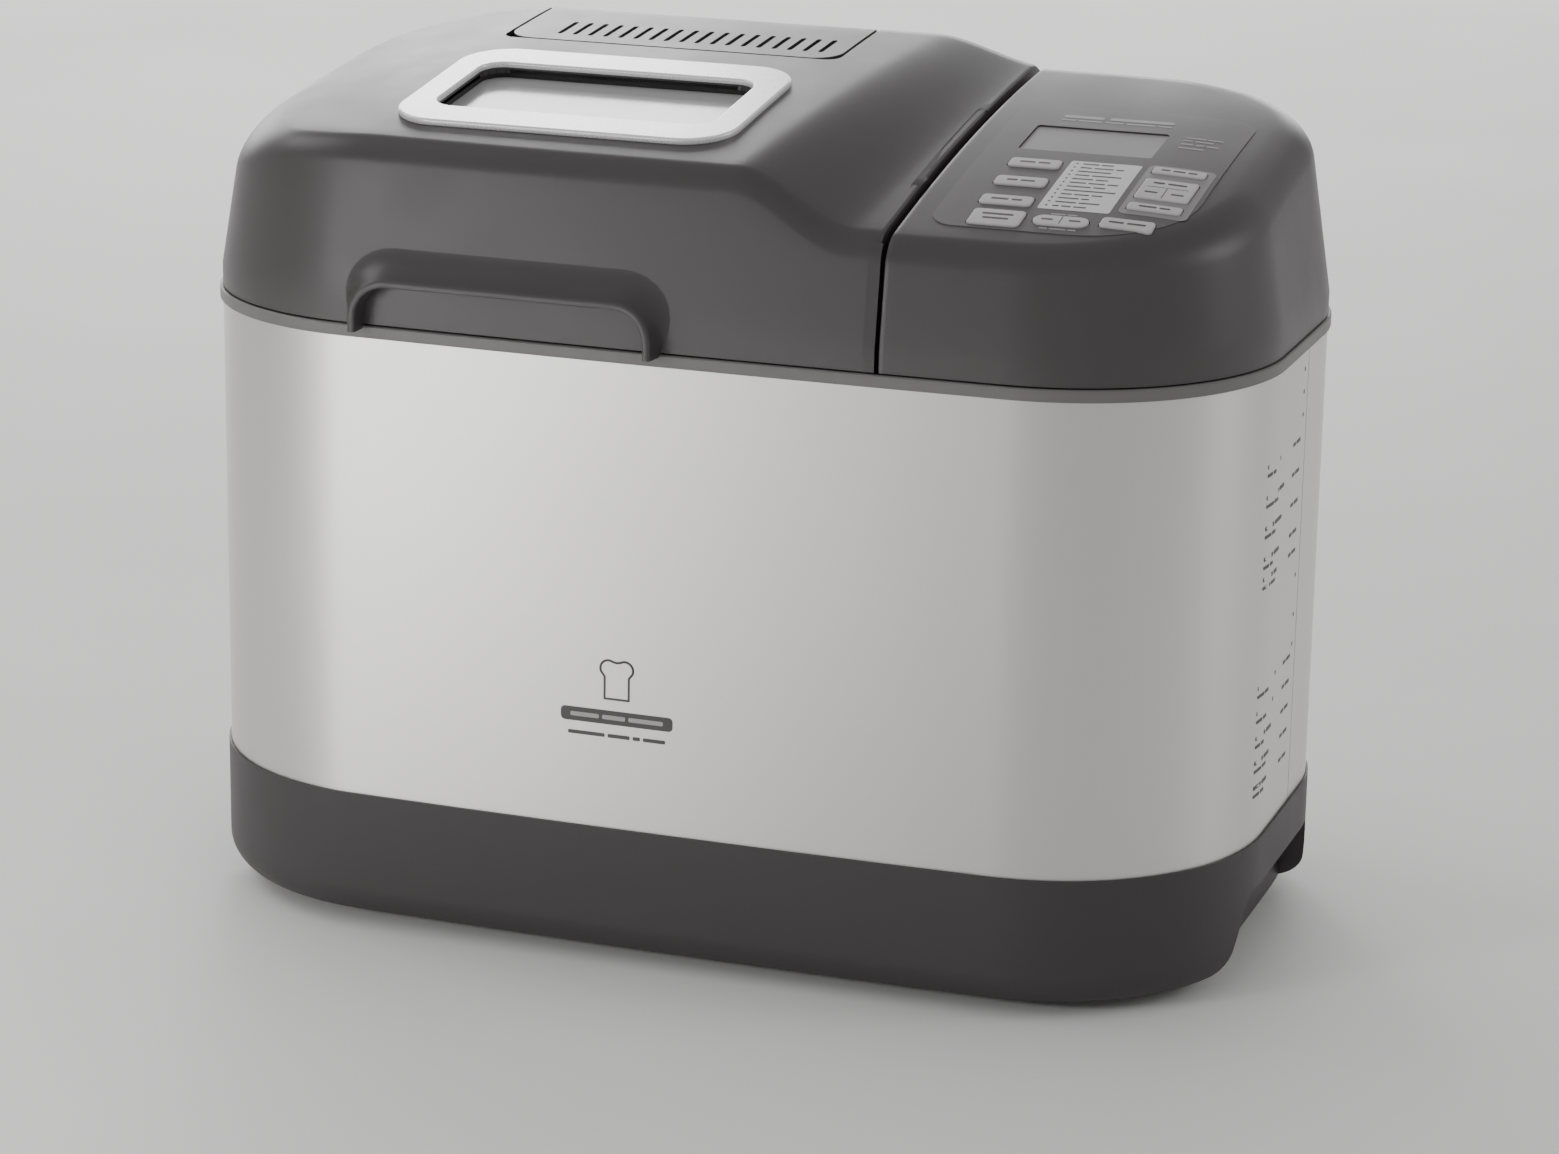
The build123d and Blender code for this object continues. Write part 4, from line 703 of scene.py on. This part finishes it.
def line_strip(line, width):
    """Closed ribbon outlines, one to each stretch of a line."""
    out = []
    for (x0, z0), (x1, z1) in zip(line, line[1:]):
        length = math.dist((x0, z0), (x1, z1))
        ux, uz = (x1 - x0) / length, (z1 - z0) / length
        ex, ez = -uz * width / 2, ux * width / 2
        tx, tz = ux * width * 0.25, uz * width * 0.25
        out.append([(x0 - tx + ex, z0 - tz + ez), (x0 - tx - ex, z0 - tz - ez),
                    (x1 + tx - ex, z1 + tz - ez), (x1 + tx + ex, z1 + tz + ez)])
    return out


def loaf_icon(cx, cz, size):
    """Plain outline of a slice of bread."""
    line = [(-0.62, -1.0), (-0.62, 0.1)]
    for k in range(1, 13):
        a = math.radians(215 - 155 * k / 12)
        line.append((-0.52 + 0.42 * math.cos(a) + 0.1, 0.5 + 0.42 * math.sin(a)))
    line.append((0.0, 0.82))
    line += [(-x, z) for x, z in reversed(line[:-1])]
    line.append((-0.62, -1.0))
    return line_strip([(cx + x * size, cz + z * size) for x, z in line], 0.9)


MARK_X, BAR_Z = -18, 100.5
front_marks = loaf_icon(MARK_X, 116, 8)
front_marks.append(box_outline(MARK_X, BAR_Z, 46, 5.6))
for bar_x, z, length, thick in words(-38, 93.2, 40, 1.5, (5, 3, 1, 3)):
    front_marks.append(box_outline(bar_x, z, length, thick))
steel_patch(front_marks, "front_mark", on_front)
front_bars = [box_outline(u, BAR_Z, length, 1.7) for u, _, length, _ in words(-37, BAR_Z, 38, 1.7, (5, 4, 6))]
steel_patch(front_bars, "front_mark_bars", on_front, PALE_INK, 0.1)

# height and share of word lengths of each line of the chart on the right end
END_LINES = (
    (205, (5,)), (193, (4, 2)), (181, (3, 3)), (169, (4, 3)), (161, (5, 2)),
    (118, (4,)), (108, (5,)), (98, (3, 2)), (88, (4, 3)), (78, (5, 4)),
)
end_marks = []
for k, (z, pattern) in enumerate(END_LINES):
    for u, _, length, thick in words(-46, 0, 17 + (k * 7) % 9, 1.7, pattern):
        end_marks.append(box_outline(u, z, length, thick))
    for u, _, length, thick in words(-46, 0, 10 + (k * 5) % 7, 1.4, (3, 2)):
        end_marks.append(box_outline(u, z - 3.4, length, thick))
    for u, _, length, thick in words(-9, 0, 12, 1.5, (2, 3)):
        end_marks.append(box_outline(u, z, length, thick))
for z in (232, 223, 214, 150, 134, 122):
    end_marks.append(box_outline(5.5, z, 1.6, 1.6))
steel_patch(end_marks, "end_chart", on_end)


# ---------------------------------------------------------------- floor, light and camera
bpy.ops.mesh.primitive_plane_add(size=14, location=(0, 0, 0))
floor = bpy.context.object
floor.name = "floor"
wear(floor, finish_of("pale matt floor", "#f1f0ef", 0.7, grain=3.0, bump=0.01, shade=0.015, patch=200))


def lamp(name, place, aim, width, height, power):
    """Rectangular area light, in metres and watts, turned towards aim."""
    data = bpy.data.lights.new(name, "AREA")
    data.shape = "RECTANGLE"
    data.size = width
    data.size_y = height
    data.energy = power
    obj = bpy.data.objects.new(name, data)
    obj.location = place
    obj.rotation_euler = (Vector(aim) - Vector(place)).to_track_quat("-Z", "Y").to_euler()
    bpy.context.scene.collection.objects.link(obj)


lamp("rear wide softbox", (-1.6, 3.6, 1.0), (0, 0, 0.3), 4.4, 1.4, 95)
lamp("left key softbox", (-0.95, 1.75, 1.12), (-0.06, -0.04, 0.32), 0.45, 0.5, 6)
lamp("high left softbox", (-1.9, 0.2, 1.8), (0, 0, 0.2), 1.2, 1.0, 10)
lamp("front left softbox", (-0.78, -1.6, 0.16), (-0.1, 0, 0.1), 0.5, 0.3, 1.6)
lamp("floor pool light", (-0.72, -1.15, 0.45), (-0.72, -1.15, 0), 0.35, 0.35, 16)
lamp("right edge softbox", (1.9, 0.5, 0.9), (0.15, 0, 0.2), 0.6, 0.8, 6)

world = bpy.data.worlds.new("studio")
bpy.context.scene.world = world
world.use_nodes = True
world.node_tree.nodes["Background"].inputs["Color"].default_value = linear("#ffffff")
world.node_tree.nodes["Background"].inputs["Strength"].default_value = 0.5

camera_data = bpy.data.cameras.new("camera")
camera_data.lens = 102.36
camera_data.sensor_width = 36
camera_data.clip_end = 50
camera = bpy.data.objects.new("camera", camera_data)
right, up, forward = (0.94251, 0.33382, 0.01539), (-0.10558, 0.25378, 0.96148), (-0.31705, 0.90783, -0.27443)
turn = Matrix((right, up, [-c for c in forward])).transposed()
camera.matrix_world = Matrix.Translation((0.57212, -1.62436, 0.61836)) @ turn.to_4x4()
bpy.context.scene.collection.objects.link(camera)
bpy.context.scene.camera = camera
